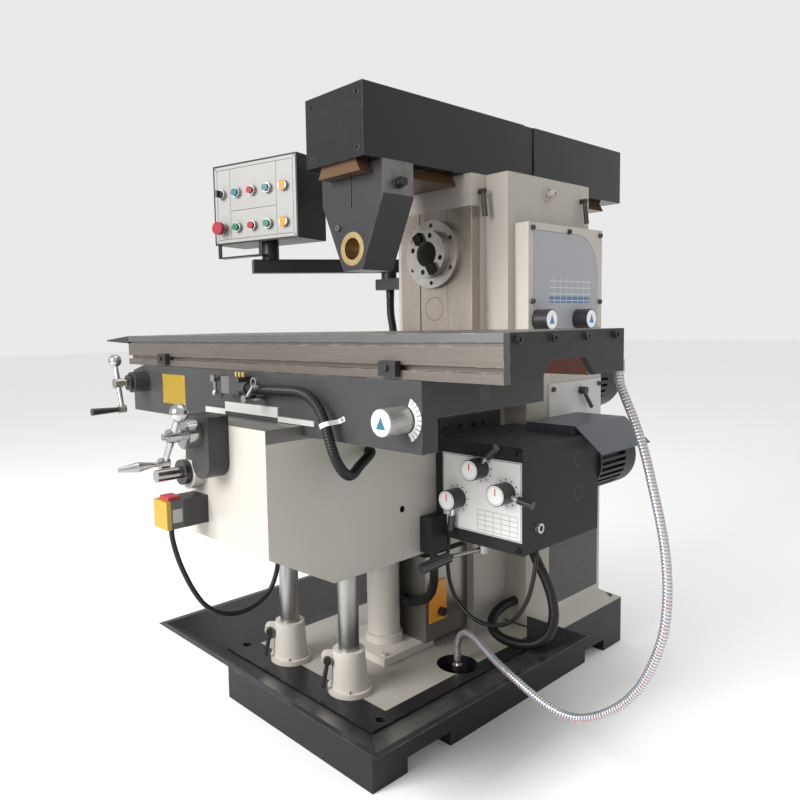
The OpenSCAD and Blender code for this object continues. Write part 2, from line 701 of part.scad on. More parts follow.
// Knee: casting with a hollow for the lifting screw, a rear pocket over the way guard,
// jaws around the column's ways and two seats for the posts.
knee_back = ways_front + gap;
jaw_back = ways_front - 30;
hollow_x = 80;
hollow_front = 740;
hollow_top_z = 765;
pocket_x = 112;
pocket_front = 245;
pocket_top_z = 600;
post_seat = 60;
lift_x = -110;
lift_z = 682;
lift_r = 14;
lift_boss_r = 40;
lift_boss_l = 27;
cross_x = -20;
cross_z = 783;
cross_r = 12;
way_h = 28;
knee_hole = [-386, 563];
knee_hole_r = 8;
module knee() color(cream) difference() {
  union() {
    translate([-knee_w / 2, 0, 0]) rotate([90, 0, 90]) linear_extrude(knee_w)
      polygon([[-knee_front, knee_top_z], [-knee_front, knee_lip_z], [-knee_heel, knee_low_z],
        [-jaw_back, knee_low_z], [-jaw_back, knee_top_z]]);
    rod_y(-knee_front - lift_boss_l, -knee_front + over, lift_x, lift_z, lift_boss_r);
  }
  block(-hollow_x, hollow_x, -hollow_front, -pocket_front, 0, hollow_top_z);
  block(-pocket_x, pocket_x, -pocket_front - over, 0, 0, pocket_top_z);
  block(-ways_w / 2 - gap, ways_w / 2 + gap, -knee_back, 0, 0, knee_top_z + over);
  for (side = [-1, 1])
    rod_z(knee_low_z - over, knee_low_z + post_seat, side * post_x, -post_front, post_d / 2);
  rod_y(-knee_front - lift_boss_l - over, -hollow_front + over, lift_x, lift_z, lift_r + fit);
  rod_y(-knee_front - over, -knee_front + cross_r, cross_x, knee_top_z - lift_boss_r, cross_r);
  rod_x(knee_w / 2 - knee_hole_r * 2, knee_w, knee_hole[0], knee_hole[1], knee_hole_r);
}
module knee_posts() color(steel) for (side = [-1, 1])
  rod_z(post_low_z, knee_low_z + post_seat, side * post_x, -post_front, post_d / 2);

// Lifting screw: hangs in the knee and runs down through the nut in the tube.
lift_low_z = 330;
module lift_screw() color(steel) {
  rod_z(lift_low_z, hollow_top_z - gap, 0, -tube_front, screw_lift_r);
  rod_z(hollow_top_z - gap - screw_lift_r, hollow_top_z - gap, 0, -tube_front, screw_lift_r * 2);
}

// Feed box on the knee's right side: gear case, front plate, hanging flange and junction box.
feed_x = knee_w / 2;
feed_right = feed_x + feed_box_w;
flange_t = 14;
flange_h = 48;
flange_back = -8;
flange_screw_y = [-236, -180, -124, -84];
plate_margin = 12;
knob_shaft_r = 8;
knob_l = 43;
box_knob_places = [[302, 664], [234, 581], [375, 616]];
lever_root = [300, -245];
lever_root_r = 6;
sight_y = -200;
sight_z = 530;
sight_r = 12;
junction = [35, 62, 89];
junction_y = -324;
feed_plate_t = 8;
module feed_box() {
  color(charcoal) difference() {
    block(feed_x, feed_right, -feed_box_front, feed_box_back, feed_box_z, feed_box_top_z);
    block(feed_x + plate_margin, feed_right - plate_margin, -feed_box_front + 2 * plate_margin,
      feed_box_back - plate_margin, feed_box_z + 2 * plate_margin, feed_box_top_z - plate_margin);
    for (p = box_knob_places) rod_y(-feed_box_front - over, -feed_box_front + 2 * plate_margin + over,
      p[0], p[1], knob_shaft_r + fit);
    rod_z(feed_box_z - over, feed_box_z + plate_margin, lever_root[0], lever_root[1], lever_root_r
        + fit);
  }
  color(charcoal) block(feed_x, feed_x + flange_t, -feed_box_front, flange_back, feed_box_top_z,
      feed_box_top_z + flange_h);
  color(black) for (y = flange_screw_y) screw_x(feed_x + flange_t, y, feed_box_top_z + flange_h / 2);
  color(black) for (x = [feed_x + plate_margin, feed_right - plate_margin],
    z = [feed_box_z + plate_margin, feed_box_top_z - plate_margin]) screw_y(x, -feed_box_front, z);
  color(steel) rod_x(feed_right, feed_right + feed_plate_t, sight_y, sight_z, sight_r);
  color(charcoal) block(feed_x, feed_x + junction[0], junction_y, junction_y + junction[1],
    knee_low_z + feed_plate_t, knee_low_z + feed_plate_t + junction[2]);
}
// Knob with a white face and one radial lever, on a shaft into the feed box.
lever_neck_r = 5;
lever_neck_l = 18;
grip_r = 9;
grip_l = 38;
lever_lift = 15;
module box_knob(place, turn) translate([place[0], -feed_box_front, place[1]]) rotate([0, turn, 0]) {
  color(black) rod_y(-knob_l, -gap, 0, 0, feed_knob_d / 2);
  color(steel) rod_y(-gap, 2 * plate_margin, 0, 0, knob_shaft_r);
  color(white) rod_y(-knob_l - over, -knob_l, 0, 0, feed_knob_d / 2 - 2 * over);
  color(steel) rod_z(feed_knob_d / 2 - over, feed_knob_d / 2 + lever_neck_l, 0, -lever_lift,
      lever_neck_r);
  color(black) rod_z(feed_knob_d / 2 + lever_neck_l, feed_knob_d / 2 + lever_neck_l + grip_l, 0,
      -lever_lift, grip_r);
}
module box_knob_top() box_knob(box_knob_places[0], 45);
module box_knob_left() box_knob(box_knob_places[1], 188);
module box_knob_right() box_knob(box_knob_places[2], 100);
// Feed engaging lever under the box: hub on a pin, chrome rod and a black grip.
lever_hub_r = 13;
lever_hub_h = 20;
lever_rod_r = 5;
lever_knee = [264, -330, 455];
lever_tip = [235, -400, 435];
lever_grip_r = 13;
module feed_lever() {
  hub_top = feed_box_z - gap;
  root = [lever_root[0], lever_root[1], hub_top - lever_hub_h / 2];
  color(steel) rod_z(hub_top - lever_hub_h, hub_top, lever_root[0], lever_root[1], lever_hub_r);
  color(steel) rod_z(hub_top, feed_box_z + plate_margin - over, lever_root[0], lever_root[1],
      lever_root_r);
  color(steel) bar(root, lever_knee, lever_rod_r, lever_rod_r);
  color(black) bar(lever_knee, lever_tip, lever_grip_r, lever_grip_r);
}
// Feed motor behind the box and the sheet guard over it.
feed_motor_gap = 19;
feed_motor_x = foot_w / 2 + feed_motor_gap + feed_motor_d / 2;
feed_motor_z = 640;
feed_motor_back = 255;
feed_cowl_l = 50;
module feed_motor() color(dark) translate([feed_motor_x, 0, feed_motor_z]) {
  finned_body(feed_motor_d / 2, feed_box_back, feed_motor_back - feed_cowl_l);
  rod_y(feed_motor_back - feed_cowl_l, feed_motor_back, 0, 0, feed_motor_d / 2);
}
splash_gap = 20;
splash_bend = 17;
splash_reach = 54;
splash_x = [foot_w / 2 + splash_gap, feed_right - splash_bend, feed_right + splash_reach];
splash_y = [-10, 243];
splash_z = [681, 745];
splash_t = 3;
module splash_guard() color("#8a93a0") {
  translate([0, splash_y[1], 0]) rotate([90, 0, 0]) linear_extrude(splash_y[1] - splash_y[0])
    polygon([[splash_x[0], splash_z[1] - splash_t], [splash_x[0], splash_z[1]], [splash_x[1],
        splash_z[1]],
      [splash_x[2], splash_z[0]], [splash_x[2] - splash_t, splash_z[0]], [splash_x[1] - splash_t,
          splash_z[1] - splash_t]]);
  block(splash_x[0], splash_x[1] - splash_t, splash_y[0], splash_y[0] + splash_t, feed_box_top_z + gap,
      splash_z[1] - splash_t);
}

// Gear housing of the cross crank on the knee's front, and the interlock switch below.
housing_x = [-66, 31];
housing_z = [720, 820];
housing_front = 837;
housing_lobe_r = 36;
module crank_housing() color(charcoal) difference() {
  translate([0, -knee_front, 0]) rotate([90, 0, 0]) linear_extrude(housing_front - knee_front) {
    translate([housing_x[0], housing_z[0]]) square([housing_x[1] - housing_x[0],
        housing_z[1] - housing_z[0]]);
    translate([housing_x[1] - housing_lobe_r, housing_z[0]]) circle(r = housing_lobe_r);
  }
  rod_y(-housing_front - over, -knee_front + over, cross_x, cross_z, cross_r + fit);
}
switch_x = [-125, -65];
switch_front = 880;
switch_z = [567, 630];
switch_face_t = 10;
switch_head_h = 8;
module safety_switch() {
  color(charcoal) block(switch_x[0], switch_x[1], -switch_front, -knee_front, switch_z[0], switch_z[1]);
  color("gold") block(switch_x[0], switch_x[1], -switch_front - switch_face_t, -switch_front,
      switch_z[0], switch_z[1]);
  color("crimson") block(switch_x[0] + switch_face_t, switch_x[1] - switch_face_t, -switch_front,
    -switch_front + 3 * switch_face_t, switch_z[1], switch_z[1] + switch_head_h);
}

// Ball crank: hub, a leaning arm between a ball and a handle boss, and a handle along -Y.
module ball_crank(x, y, z, up, down, ball_r, boss_r, arm_r) {
  top = [x + up[0], y, z + up[1]];
  low = [x + down[0], y, z + down[1]];
  color(steel) rod_y(y - boss_r, y + boss_r, x, z, boss_r * 1.25);
  color(steel) bar([x, y, z], top, arm_r, arm_r * 0.8);
  color(steel) bar([x, y, z], low, arm_r, arm_r * 0.8);
  color(steel) translate(top) sphere(r = ball_r);
  color(steel) rod_y(y - boss_r, y + boss_r * 0.8, low[0], low[2], boss_r);
}
cross_y = -892;
cross_up = [31, 51];
cross_down = [-42, -64];
cross_ball_r = 20;
cross_boss_r = 12;
cross_arm_r = 8;
cross_dial_r = 32;
cross_dial_y = [-868, -838];
handle_l = 105;
handle_r = 11;
handle_neck_r = 5;
module cross_crank() {
  handle = [cross_x + cross_down[0], cross_y, cross_z + cross_down[1]];
  neck_end = handle - [0, handle_l / 4, 0];
  ball_crank(cross_x, cross_y, cross_z, cross_up, cross_down, cross_ball_r, cross_boss_r, cross_arm_r);
  color(steel) rod_y(cross_y, -knee_front - over, cross_x, cross_z, cross_r);
  color(steel) rod_y(cross_dial_y[0], cross_dial_y[1], cross_x, cross_z, cross_dial_r);
  color(steel) rod_y(cross_y - 2 * cross_boss_r, cross_y, cross_x, cross_z, cross_boss_r * 0.6);
  color(steel) bar(handle, neck_end, handle_neck_r, handle_neck_r);
  color(steel) bar(neck_end, handle - [0, handle_l * 0.6, 0], handle_neck_r, handle_r);
  color(steel) bar(handle - [0, handle_l * 0.6, 0], handle - [0, handle_l, 0], handle_r, handle_neck_r);
}
table_crank_x = -548;
table_crank_z = 862;
table_crank_y = -768;
table_up = [-13, 62];
table_down = [21, -71];
table_ball_r = 18;
table_boss_r = 11;
table_arm_r = 7.4;
table_boss_front = 729;
crank_boss_r = 29;
crank_shaft_r = 10;
crank_shaft_back = 650;
table_grip_l = 88;
table_grip_r = 10;
module table_crank() {
  handle = [table_crank_x + table_down[0], table_crank_y, table_crank_z + table_down[1]];
  ball_crank(table_crank_x, table_crank_y, table_crank_z, table_up, table_down, table_ball_r,
      table_boss_r, table_arm_r);
  color(black) rod_y(-table_boss_front - gap - table_boss_r, -table_boss_front - gap, table_crank_x,
      table_crank_z,
    crank_boss_r - table_arm_r);
  color(steel) rod_y(table_crank_y, -crank_shaft_back, table_crank_x, table_crank_z, crank_shaft_r);
  color(black) bar(handle - [0, over, 0], handle - [0, table_grip_l, 0], table_arm_r - over,
      table_grip_r);
}
// Lift shaft: bare square-ended shaft with a black dial; its crank is kept off the machine.
lift_tip_y = -889;
lift_dial_r = 29;
lift_dial_l = 15;
module lift_shaft() {
  dial_back = -knee_front - lift_boss_l - gap;
  color(steel) rod_y(lift_tip_y, -hollow_front, lift_x, lift_z, lift_r);
  color(black) rod_y(dial_back - lift_dial_l, dial_back, lift_x, lift_z, lift_dial_r);
}

// Saddle: long apron in front, a bed under the table and a block on the knee's ways.
bed_z = 839;
bed_left = 560;
saddle_back = 300;
saddle_top_z = table_z - table_t - gap;
block_x = 205;
screw_y_axis = -500;
screw_z_axis = 872;
trough_x = [-520, 470];
trough_w = 64;
trough_z = 846;
apron_chamfer = [64, 16];
skirt_clear = 1;
module saddle() color(charcoal) difference() {
  union() {
    translate([0, -saddle_front + apron_t, 0]) rotate([90, 0, 0]) linear_extrude(apron_t)
      polygon([[-saddle_left, saddle_z], [saddle_right, saddle_z], [saddle_right, saddle_top_z],
        [-saddle_left + apron_chamfer[0], saddle_top_z], [-saddle_left,
            saddle_top_z - apron_chamfer[1]]]);
    block(-bed_left, saddle_right, -saddle_front + apron_t, -saddle_back, bed_z, saddle_top_z);
    block(-block_x, block_x, -saddle_front + apron_t, -saddle_back, saddle_z, bed_z);
    rod_y(-table_boss_front, -saddle_front + over, table_crank_x, table_crank_z, crank_boss_r);
  }
  block(-knee_w / 2 - skirt_clear, knee_w / 2 + skirt_clear, -saddle_front - over, 0, 0, knee_top_z
      + gap);
  block(trough_x[0], trough_x[1], screw_y_axis - trough_w / 2, screw_y_axis + trough_w / 2, trough_z,
      saddle_top_z + over);
  rod_x(-bed_left - over, saddle_right + over, screw_y_axis, screw_z_axis, table_screw_d / 2 + fit);
  rod_y(-table_boss_front - over, -crank_shaft_back + over, table_crank_x, table_crank_z,
      crank_shaft_r + fit);
  rod_y(-saddle_front - over, -saddle_front + apron_t - over, saddle_knob_x, saddle_knob_z,
      knob_shaft_r + fit);
  for (p = clamp_studs) rod_y(-saddle_front - over, -saddle_front + stud_deep, p[0], p[1], stud_r
      + fit);
}
module table_screw() color(steel)
  rod_x(-bed_left, saddle_right, screw_y_axis, screw_z_axis, table_screw_d / 2);

// Saddle fittings: limit switch with three plungers, connector, way wipers and feed scale.
switch_block = [[-105, -62], [-62, -22]];
switch_block_z = [856, 896];
switch_block_t = [30, 36];
plunger_r = 4;
plunger_top_z = saddle_top_z - 1;
plunger_x = [-56, -42, -28];
connector_x = [-22, 5];
connector_z = 872;
connector_r = 14;
connector_y = -712;
wiper_t = 6;
wipers = [[-218, -128, 800.5, 814], [-128, 82, 809, 832], [82, 205, 800.5, 812]];
module saddle_fittings() {
  color(steel) block(switch_block[0][0], switch_block[0][1], -saddle_front - switch_block_t[0],
      -saddle_front,
    switch_block_z[0], switch_block_z[1]);
  color(black) block(switch_block[1][0], switch_block[1][1], -saddle_front - switch_block_t[1],
      -saddle_front,
    switch_block_z[0], switch_block_z[1]);
  color("#b08d3c") for (x = plunger_x)
    rod_z(switch_block_z[1], plunger_top_z, x, -saddle_front - switch_block_t[1] / 2, plunger_r);
  color(black) rod_x(connector_x[0], connector_x[1], connector_y, connector_z, connector_r);
  color(steel) for (w = wipers) block(w[0], w[1], -saddle_front - wiper_t, -saddle_front, w[2], w[3]);
}
// Feed knob on the saddle's right, with a knurled rim and a white face.
saddle_knob_x = 452;
saddle_knob_z = 836;
saddle_knob_r = 25;
saddle_knob_l = 58;
module saddle_knob() {
  color(steel) rod_y(-saddle_front - saddle_knob_l, -saddle_front - gap, saddle_knob_x,
      saddle_knob_z, saddle_knob_r);
  color(white) rod_y(-saddle_front - saddle_knob_l - over, -saddle_front - saddle_knob_l, saddle_knob_x,
    saddle_knob_z, saddle_knob_r - 2 * over);
  color(steel) rod_y(-saddle_front - gap, -saddle_front + apron_t - 2 * over, saddle_knob_x,
      saddle_knob_z, knob_shaft_r);
}
// Two small clamp levers on studs in the apron: one with a ball, one with a ring.
clamp_studs = [[-150, 888], [30, 852]];
stud_r = 6;
stud_deep = 20;
stud_out = [26, 60];
small_ball_r = 8;
ball_arm_l = 34;
ring_arm = [34, 38];
ring_r = 11;
ring_hole_r = 7;
ring_t = 8;
module clamp_stud(p, out) {
  rod_y(-saddle_front - out, -saddle_front + stud_deep - over, p[0], p[1], stud_r);
  rod_y(-saddle_front - out, -saddle_front - out + ring_t * 2, p[0], p[1], stud_r + 3 * over);
}
module table_clamp_lever() color(steel) {
  p = clamp_studs[0];
  top = [p[0], -saddle_front - stud_out[0] + ring_t, p[1]];
  clamp_stud(p, stud_out[0]);
  bar(top, top - [0, 0, ball_arm_l], stud_r - over, stud_r - 2 * over);
  translate(top - [0, 0, ball_arm_l]) sphere(r = small_ball_r);
}
module saddle_clamp_lever() color(steel) {
  p = clamp_studs[1];
  root = [p[0], -saddle_front - stud_out[1] + ring_t, p[1]];
  ring = root + [ring_arm[0], 0, ring_arm[1]];
  arm_share = 1 - (ring_hole_r + over) / norm(ring_arm);
  clamp_stud(p, stud_out[1]);
  bar(root, root + arm_share * (ring - root), stud_r - over, stud_r / 2);
  difference() {
    rod_y(ring[1] - ring_t / 2, ring[1] + ring_t / 2, ring[0], ring[2], ring_r);
    rod_y(ring[1] - ring_t, ring[1] + ring_t, ring[0], ring[2], ring_hole_r);
  }
}

// Table: slab with T-slots, a dog slot in front and a channel for the feed nut below.
tslot_deep = 16;
tslot_foot_w = 30;
tslot_foot_h = 14;
channel_w = [178, 106];
channel_up = 35;
dog_slot_z = 930;
dog_slot_w = 10;
dog_slot_deep = 12;
lip_h = 16;
lip_out = 6;
nut_x = [-40, 40];
nut_w = 56;
nut_low_z = 850;
table_mid_y = -table_front + table_w / 2;
table_low_z = table_z - table_t;
channel_mid_y = -509;
module table() color(iron) {
  table_back = -table_front + table_w;
  difference() {
    union() {
      block(-table_left, table_right, -table_front + lip_out, table_back, table_low_z, table_z);
      block(-table_left, table_right, -table_front, table_back, table_z - lip_h, table_z);
      block(-table_left, table_right, -table_front, -table_front + 2 * lip_out, table_low_z,
        table_z - lip_h - lip_out);
    }
    for (i = [-1 : 1]) translate([0, table_mid_y + i * tslot_pitch, 0]) {
      block(-table_left - over, table_right + over, -tslot_w / 2, tslot_w / 2,
          table_z - tslot_deep - tslot_foot_h, table_z + over);
      block(-table_left - over, table_right + over, -tslot_foot_w / 2, tslot_foot_w / 2,
        table_z - tslot_deep - tslot_foot_h, table_z - tslot_deep);
    }
    translate([-table_left - over, channel_mid_y, table_low_z]) rotate([90, 0, 90])
      linear_extrude(table_left + table_right + 2 * over)
        polygon([[-channel_w[0] / 2, -over], [-channel_w[0] / 2, 0], [-channel_w[1] / 2, channel_up],
          [channel_w[1] / 2, channel_up], [channel_w[0] / 2, 0], [channel_w[0] / 2, -over]]);
    block(-table_left - over, table_right + over, -table_front - over, -table_front + dog_slot_deep,
      dog_slot_z - dog_slot_w / 2, dog_slot_z + dog_slot_w / 2);
  }
  difference() {
    block(nut_x[0], nut_x[1], screw_y_axis - nut_w / 2, screw_y_axis + nut_w / 2, nut_low_z,
        table_low_z + channel_up);
    rod_x(nut_x[0] - over, nut_x[1] + over, screw_y_axis, screw_z_axis, table_screw_d / 2 + fit);
  }
}
// End plates: an arched plate with a drain spout on the right, a drip lip on the left.
end_plate_t = 12;
end_plate_z = 910;
arch_w = [178, 106];
arch_top_z = 943;
end_screw_z = 980;
end_screw_share = [0.05, 0.33, 0.62, 0.9];
lip_l = 150;
lip_t = 6;
lip_drop = 12;
spout_inset = 13;
spout_x = table_right - spout_inset;
spout_reach = 31;
spout_y = -table_front + table_w + spout_reach;
spout_r = 11;
spout_z = [905, 930];
spout_hole_r = 7;
module table_fittings() {
  trip_dogs();
  table_back = -table_front + table_w;
  color(charcoal) difference() {
    block(table_right, table_right + end_plate_t, -table_front, table_back, end_plate_z, table_z);
    translate([table_right - over, channel_mid_y, 0]) rotate([90, 0, 90])
        linear_extrude(end_plate_t + 2 * over)
      polygon([[-arch_w[0] / 2, end_plate_z - over], [-arch_w[1] / 2, arch_top_z],
        [arch_w[1] / 2, arch_top_z], [arch_w[0] / 2, end_plate_z - over]]);
  }
  color(black) for (s = end_screw_share) screw_x(table_right + end_plate_t, -table_front
      + s * table_w, end_screw_z);
  color(charcoal) translate([-table_left, table_back, 0]) rotate([90, 0, 0]) linear_extrude(table_w)
    polygon([[0, table_z], [0, table_z - lip_h - lip_t], [-lip_l, table_z - lip_h], [-lip_l,
        table_z - lip_drop]]);
  color(steel) difference() {
    union() {
      block(spout_x - spout_r, spout_x + spout_r, table_back, spout_y, spout_z[0] + lip_t, spout_z[1]);
      rod_z(spout_z[0], spout_z[1], spout_x, spout_y, spout_r);
    }
    rod_z(spout_z[0] - over, spout_z[1] - lip_t, spout_x, spout_y, spout_hole_r);
  }
}
// Two trip dogs bolted to the table's front slot.
dog_x = [-431, 421];
dog_w = 44;
dog_t = 14;
dog_z = [913, 942];
dog_bolt_r = 6;
module trip_dogs() color(black) for (x = dog_x) {
  block(x - dog_w / 2, x + dog_w / 2, -table_front - dog_t, -table_front, dog_z[0], dog_z[1]);
  rod_y(-table_front - dog_t - dog_bolt_r, -table_front - dog_t, x, dog_slot_z, dog_bolt_r);
}

// Speed knobs on the column's side cover.
speed_knob_l = 43;
module speed_knob(y) {
  color(black) rod_x(foot_w / 2 + gap, foot_w / 2 + speed_knob_l, y, speed_knob_z, speed_knob_d / 2);
  color(white) rod_x(foot_w / 2 + speed_knob_l, foot_w / 2 + speed_knob_l + over, y, speed_knob_z,
      speed_knob_d / 2 - 3 * over);
  color(steel) rod_x(foot_w / 2 - 2 * cover_wall, foot_w / 2 + gap, y, speed_knob_z, speed_pin_r);
}
module speed_knob_front() speed_knob(speed_knob_y[0]);
module speed_knob_rear() speed_knob(speed_knob_y[1]);

// Pendant: a swinging arm on the column's bracket and a switch box that swivels on it.
arm_turn = 243.8;
arm_z = 1170;
arm_tail = 28;
arm_nose = 55;
arm_hub_r = 24;
boss_r = 26;
swivel_r = 14;
swivel_low = 12;
box_turn = 15.5;
pendant_x = pivot_x + arm_l * cos(arm_turn);
pendant_y = pivot_y + arm_l * sin(arm_turn);
module pendant_arm() color(black) difference() {
  union() {
    translate([pivot_x, pivot_y, 0]) rotate([0, 0, arm_turn])
      block(-arm_tail, arm_l + arm_nose, -arm_t / 2, arm_t / 2, arm_z, arm_z + arm_t);
    rod_z(bracket_z[1] + gap, arm_z + over, pivot_x, pivot_y, arm_hub_r);
    rod_z(bracket_z[0] + over, arm_z, pivot_x, pivot_y, pivot_r);
    rod_z(arm_z + arm_t - over, pendant_z - gap, pendant_x, pendant_y, boss_r);
  }
  rod_z(arm_z + arm_t / 2 - swivel_low, pendant_z, pendant_x, pendant_y, swivel_r + fit);
}
module at_pendant() {
  translate([pendant_x, pendant_y, 0]) rotate([0, 0, box_turn]) children();
}
wall = 4;
bezel_r = 14.5;
bezel_h = 12;
column_share = [-0.385, -0.2, -0.015, 0.17, 0.355];
row_share = [0.63, 0.2];
shelf_x = [-150, 20];
shelf_y = [-66, -34];
shelf_z = 1219;
shelf_leg = 12;
function place(c, w) = [column_share[c] * pendant_w, pendant_z + row_share[w] * pendant_h];
module pendant_box() {
  button_hole_r = button_d / 2 + gap;
  color(black) at_pendant() difference() {
    union() {
      block(-pendant_w / 2, pendant_w / 2, -pendant_d / 2, pendant_d / 2, pendant_z, pendant_z
          + pendant_h);
      rod_z(arm_z + arm_t / 2 - swivel_low + gap, pendant_z + over, 0, 0, swivel_r);
      for (c = [0 : 4], w = [0, 1])
        rod_y(-pendant_d / 2 - bezel_h, -pendant_d / 2, place(c, w)[0], place(c, w)[1], bezel_r);
      block(shelf_x[0], shelf_x[1], shelf_y[0], shelf_y[1], shelf_z, shelf_z + wall);
      for (x = shelf_x) block(x - sign(x) * shelf_leg, x, shelf_y[0], shelf_y[0] + wall, shelf_z,
          pendant_z);
    }
    block(-pendant_w / 2 + wall, pendant_w / 2 - wall, -pendant_d / 2 + wall, pendant_d / 2 - wall,
      pendant_z + wall, pendant_z + pendant_h - wall);
    for (c = [0 : 3], w = [0, 1])
      rod_y(-pendant_d / 2 - bezel_h - over, -pendant_d / 2 + wall + over, place(c, w)[0], place(c,
          w)[1], button_hole_r);
  }
}
// Push button: a cap that slides in its bezel.
cap_out = 6;
cap_back = 5;
module push_button(c, w, tint) color(tint) at_pendant()
  rod_y(-pendant_d / 2 - bezel_h - cap_out, -pendant_d / 2 + wall + cap_back, place(c, w)[0],
      place(c, w)[1], button_d / 2);
module blue_button_left() push_button(1, 0, "royalblue");
module red_button_top() push_button(2, 0, "crimson");
module blue_button_right() push_button(3, 0, "royalblue");
module green_button_left() push_button(1, 1, "seagreen");
module red_button_low() push_button(2, 1, "crimson");
module green_button_right() push_button(3, 1, "seagreen");
mushroom_r = 19;
mushroom_t = 14;
module estop_button() {
  push_button(0, 1, "crimson");
  color("crimson") at_pendant() rod_y(-pendant_d / 2 - bezel_h - cap_out - mushroom_t,
    -pendant_d / 2 - bezel_h - cap_out, place(0, 1)[0], place(0, 1)[1], mushroom_r);
}
pointer = [6, 20, 12];
module selector_switch() {
  push_button(0, 0, black);
  color(white) at_pendant() block(place(0, 0)[0] - pointer[0] / 2, place(0, 0)[0] + pointer[0] / 2,
    -pendant_d / 2 - bezel_h - cap_out - pointer[2], -pendant_d / 2 - bezel_h - cap_out,
    place(0, 0)[1] - pointer[1] / 2, place(0, 0)[1] + pointer[1] / 2);
}

// Swept tubes. A route's points are joined by a smooth curve and cut into equal steps.
function unit(v) = v / norm(v);
function bend(a, b, c, d, t) = (2 * b + (c - a) * t + (2 * a - 5 * b + 4 * c - d) * t * t
  + (3 * b - a - 3 * c + d) * t * t * t) / 2;
function smooth(p, n) = [for (i = [0 : len(p) - 2], j = [0 : n - 1])
  bend(p[max(i - 1, 0)], p[i], p[i + 1], p[min(i + 2, len(p) - 1)], j / n), p[len(p) - 1]];
function reach(p, i = 0, s = 0, acc = []) = i == len(p) - 1 ? concat(acc, [s])
  : reach(p, i + 1, s + norm(p[i + 1] - p[i]), concat(acc, [s]));
function steps(p, n) = let (s = reach(p), m = len(p) - 1)
  [for (k = [0 : n]) [for (a = [0 : 2]) lookup(s[m] * k / n, [for (i = [0 : m]) [s[i], p[i][a]]])]];
function headings(p) = [for (i = [0 : len(p) - 1]) unit(p[min(i + 1, len(p) - 1)] - p[max(i - 1, 0)])];
function sides_of(t, i = 0, acc = []) = i == len(t) ? acc
  : let (was = i == 0 ? (abs(t[0][2]) > 0.9 ? [1, 0, 0] : [0, 0, 1]) : acc[i - 1])
    sides_of(t, i + 1, concat(acc, [unit(was - (was * t[i]) * t[i])]));
function ring(p, t, n, r, sides) = [for (k = [0 : sides - 1])
  p + r * (cos(360 * k / sides) * n + sin(360 * k / sides) * cross(t, n))];
function skin(rings, sides, first, flip) = [for (i = [0 : rings - 2], k = [0 : sides - 1])
  let (a = first + i * sides + k, b = first + i * sides + (k + 1) % sides, c = b + sides, d = a + sides)
  each (flip ? [[a, c, d], [a, b, c]] : [[a, d, c], [a, c, b]])];
function tube_points(p, radii, sides) = let (t = headings(p), n = sides_of(t))
  [for (i = [0 : len(p) - 1]) each ring(p[i], t[i], n[i], radii[i], sides)];
// Plain round cord.
module cord(route, r, rings, sides) {
  p = steps(smooth(route, spline_steps), rings - 1);
  last = (rings - 1) * sides;
  polyhedron(tube_points(p, [for (q = p) r], sides), concat(skin(rings, sides, 0, false),
    [for (k = [1 : sides - 2]) [0, k, k + 1]], [for (k = [1 : sides - 2]) [last, last + k + 1, last
        + k]]));
}
// Ribbed hose with its bore: a crest and a valley for each rib, plain for one diameter at each end.
module ribbed_hose(route, r, valley, bore, ribs, bore_rings, sides) {
  n = 2 * ribs;
  q = smooth(route, spline_steps);
  long = reach(q)[len(q) - 1];
  p = steps(q, n - 1);
  ends = ceil(n * 2 * r / long);
  radii = [for (i = [0 : n - 1]) i < ends || i >= n - ends ? r : (i % 2 == 0 ? r : valley)];
  s = steps(q, bore_rings - 3);
  b = concat([p[0], p[1]], [for (i = [1 : bore_rings - 4]) s[i]], [p[n - 2], p[n - 1]]);
  in = n * sides;
  o_last = (n - 1) * sides;
  i_last = in + (bore_rings - 1) * sides;
  polyhedron(concat(tube_points(p, radii, sides), tube_points(b, [for (v = b) bore], sides)),
    concat(skin(n, sides, 0, false), skin(bore_rings, sides, in, true),
      [for (k = [0 : sides - 1]) let (m = (k + 1) % sides) each [[k, m, in + m], [k, in + m, in + k]]],
      [for (k = [0 : sides - 1]) let (m = (k + 1) % sides)
        each [[o_last + k, i_last + m, o_last + m], [o_last + k, i_last + k, i_last + m]]]));
}
spline_steps = 8;
hose_sides = 8;

// Coolant hose from the sump's nipple over the tray's rim to the table's drain spout.
end_gap = 1.6;
hose_route = [[pit_x, -pit_front, nipple_top_z + gap], [pit_x, -pit_front, nipple_top_z + 2 * hose_r],
  [211, -237, 195], [224, -240, 222], [250, -248, 238],
  [285, -260, 238], [325, -276, 230], [365, -292, 222], [405, -308, 218], [440, -319, 213], [480,
      -326, 203],
  [525, -331, 193], [570, -333, 190], [612, -334, 201], [655, -334, 228], [695, -333, 266], [728,
      -332, 315],
  [752, -331, 372], [768, -330, 435], [770, -324, 500], [763, -317, 565], [750, -311, 625],
  [731, -304, 690], [712, -298, 752], [688, -292, 812], [667, -288, 856], [655, -285, 882],
  [spout_x, spout_y, spout_z[0] - end_gap]];
hose_valley_r = 8;
hose_bore_r = 6;
hose_ribs = 88;
module coolant_hose() color("#c8ccd0")
  ribbed_hose(hose_route, hose_r, hose_valley_r, hose_bore_r, hose_ribs, 40, hose_sides);

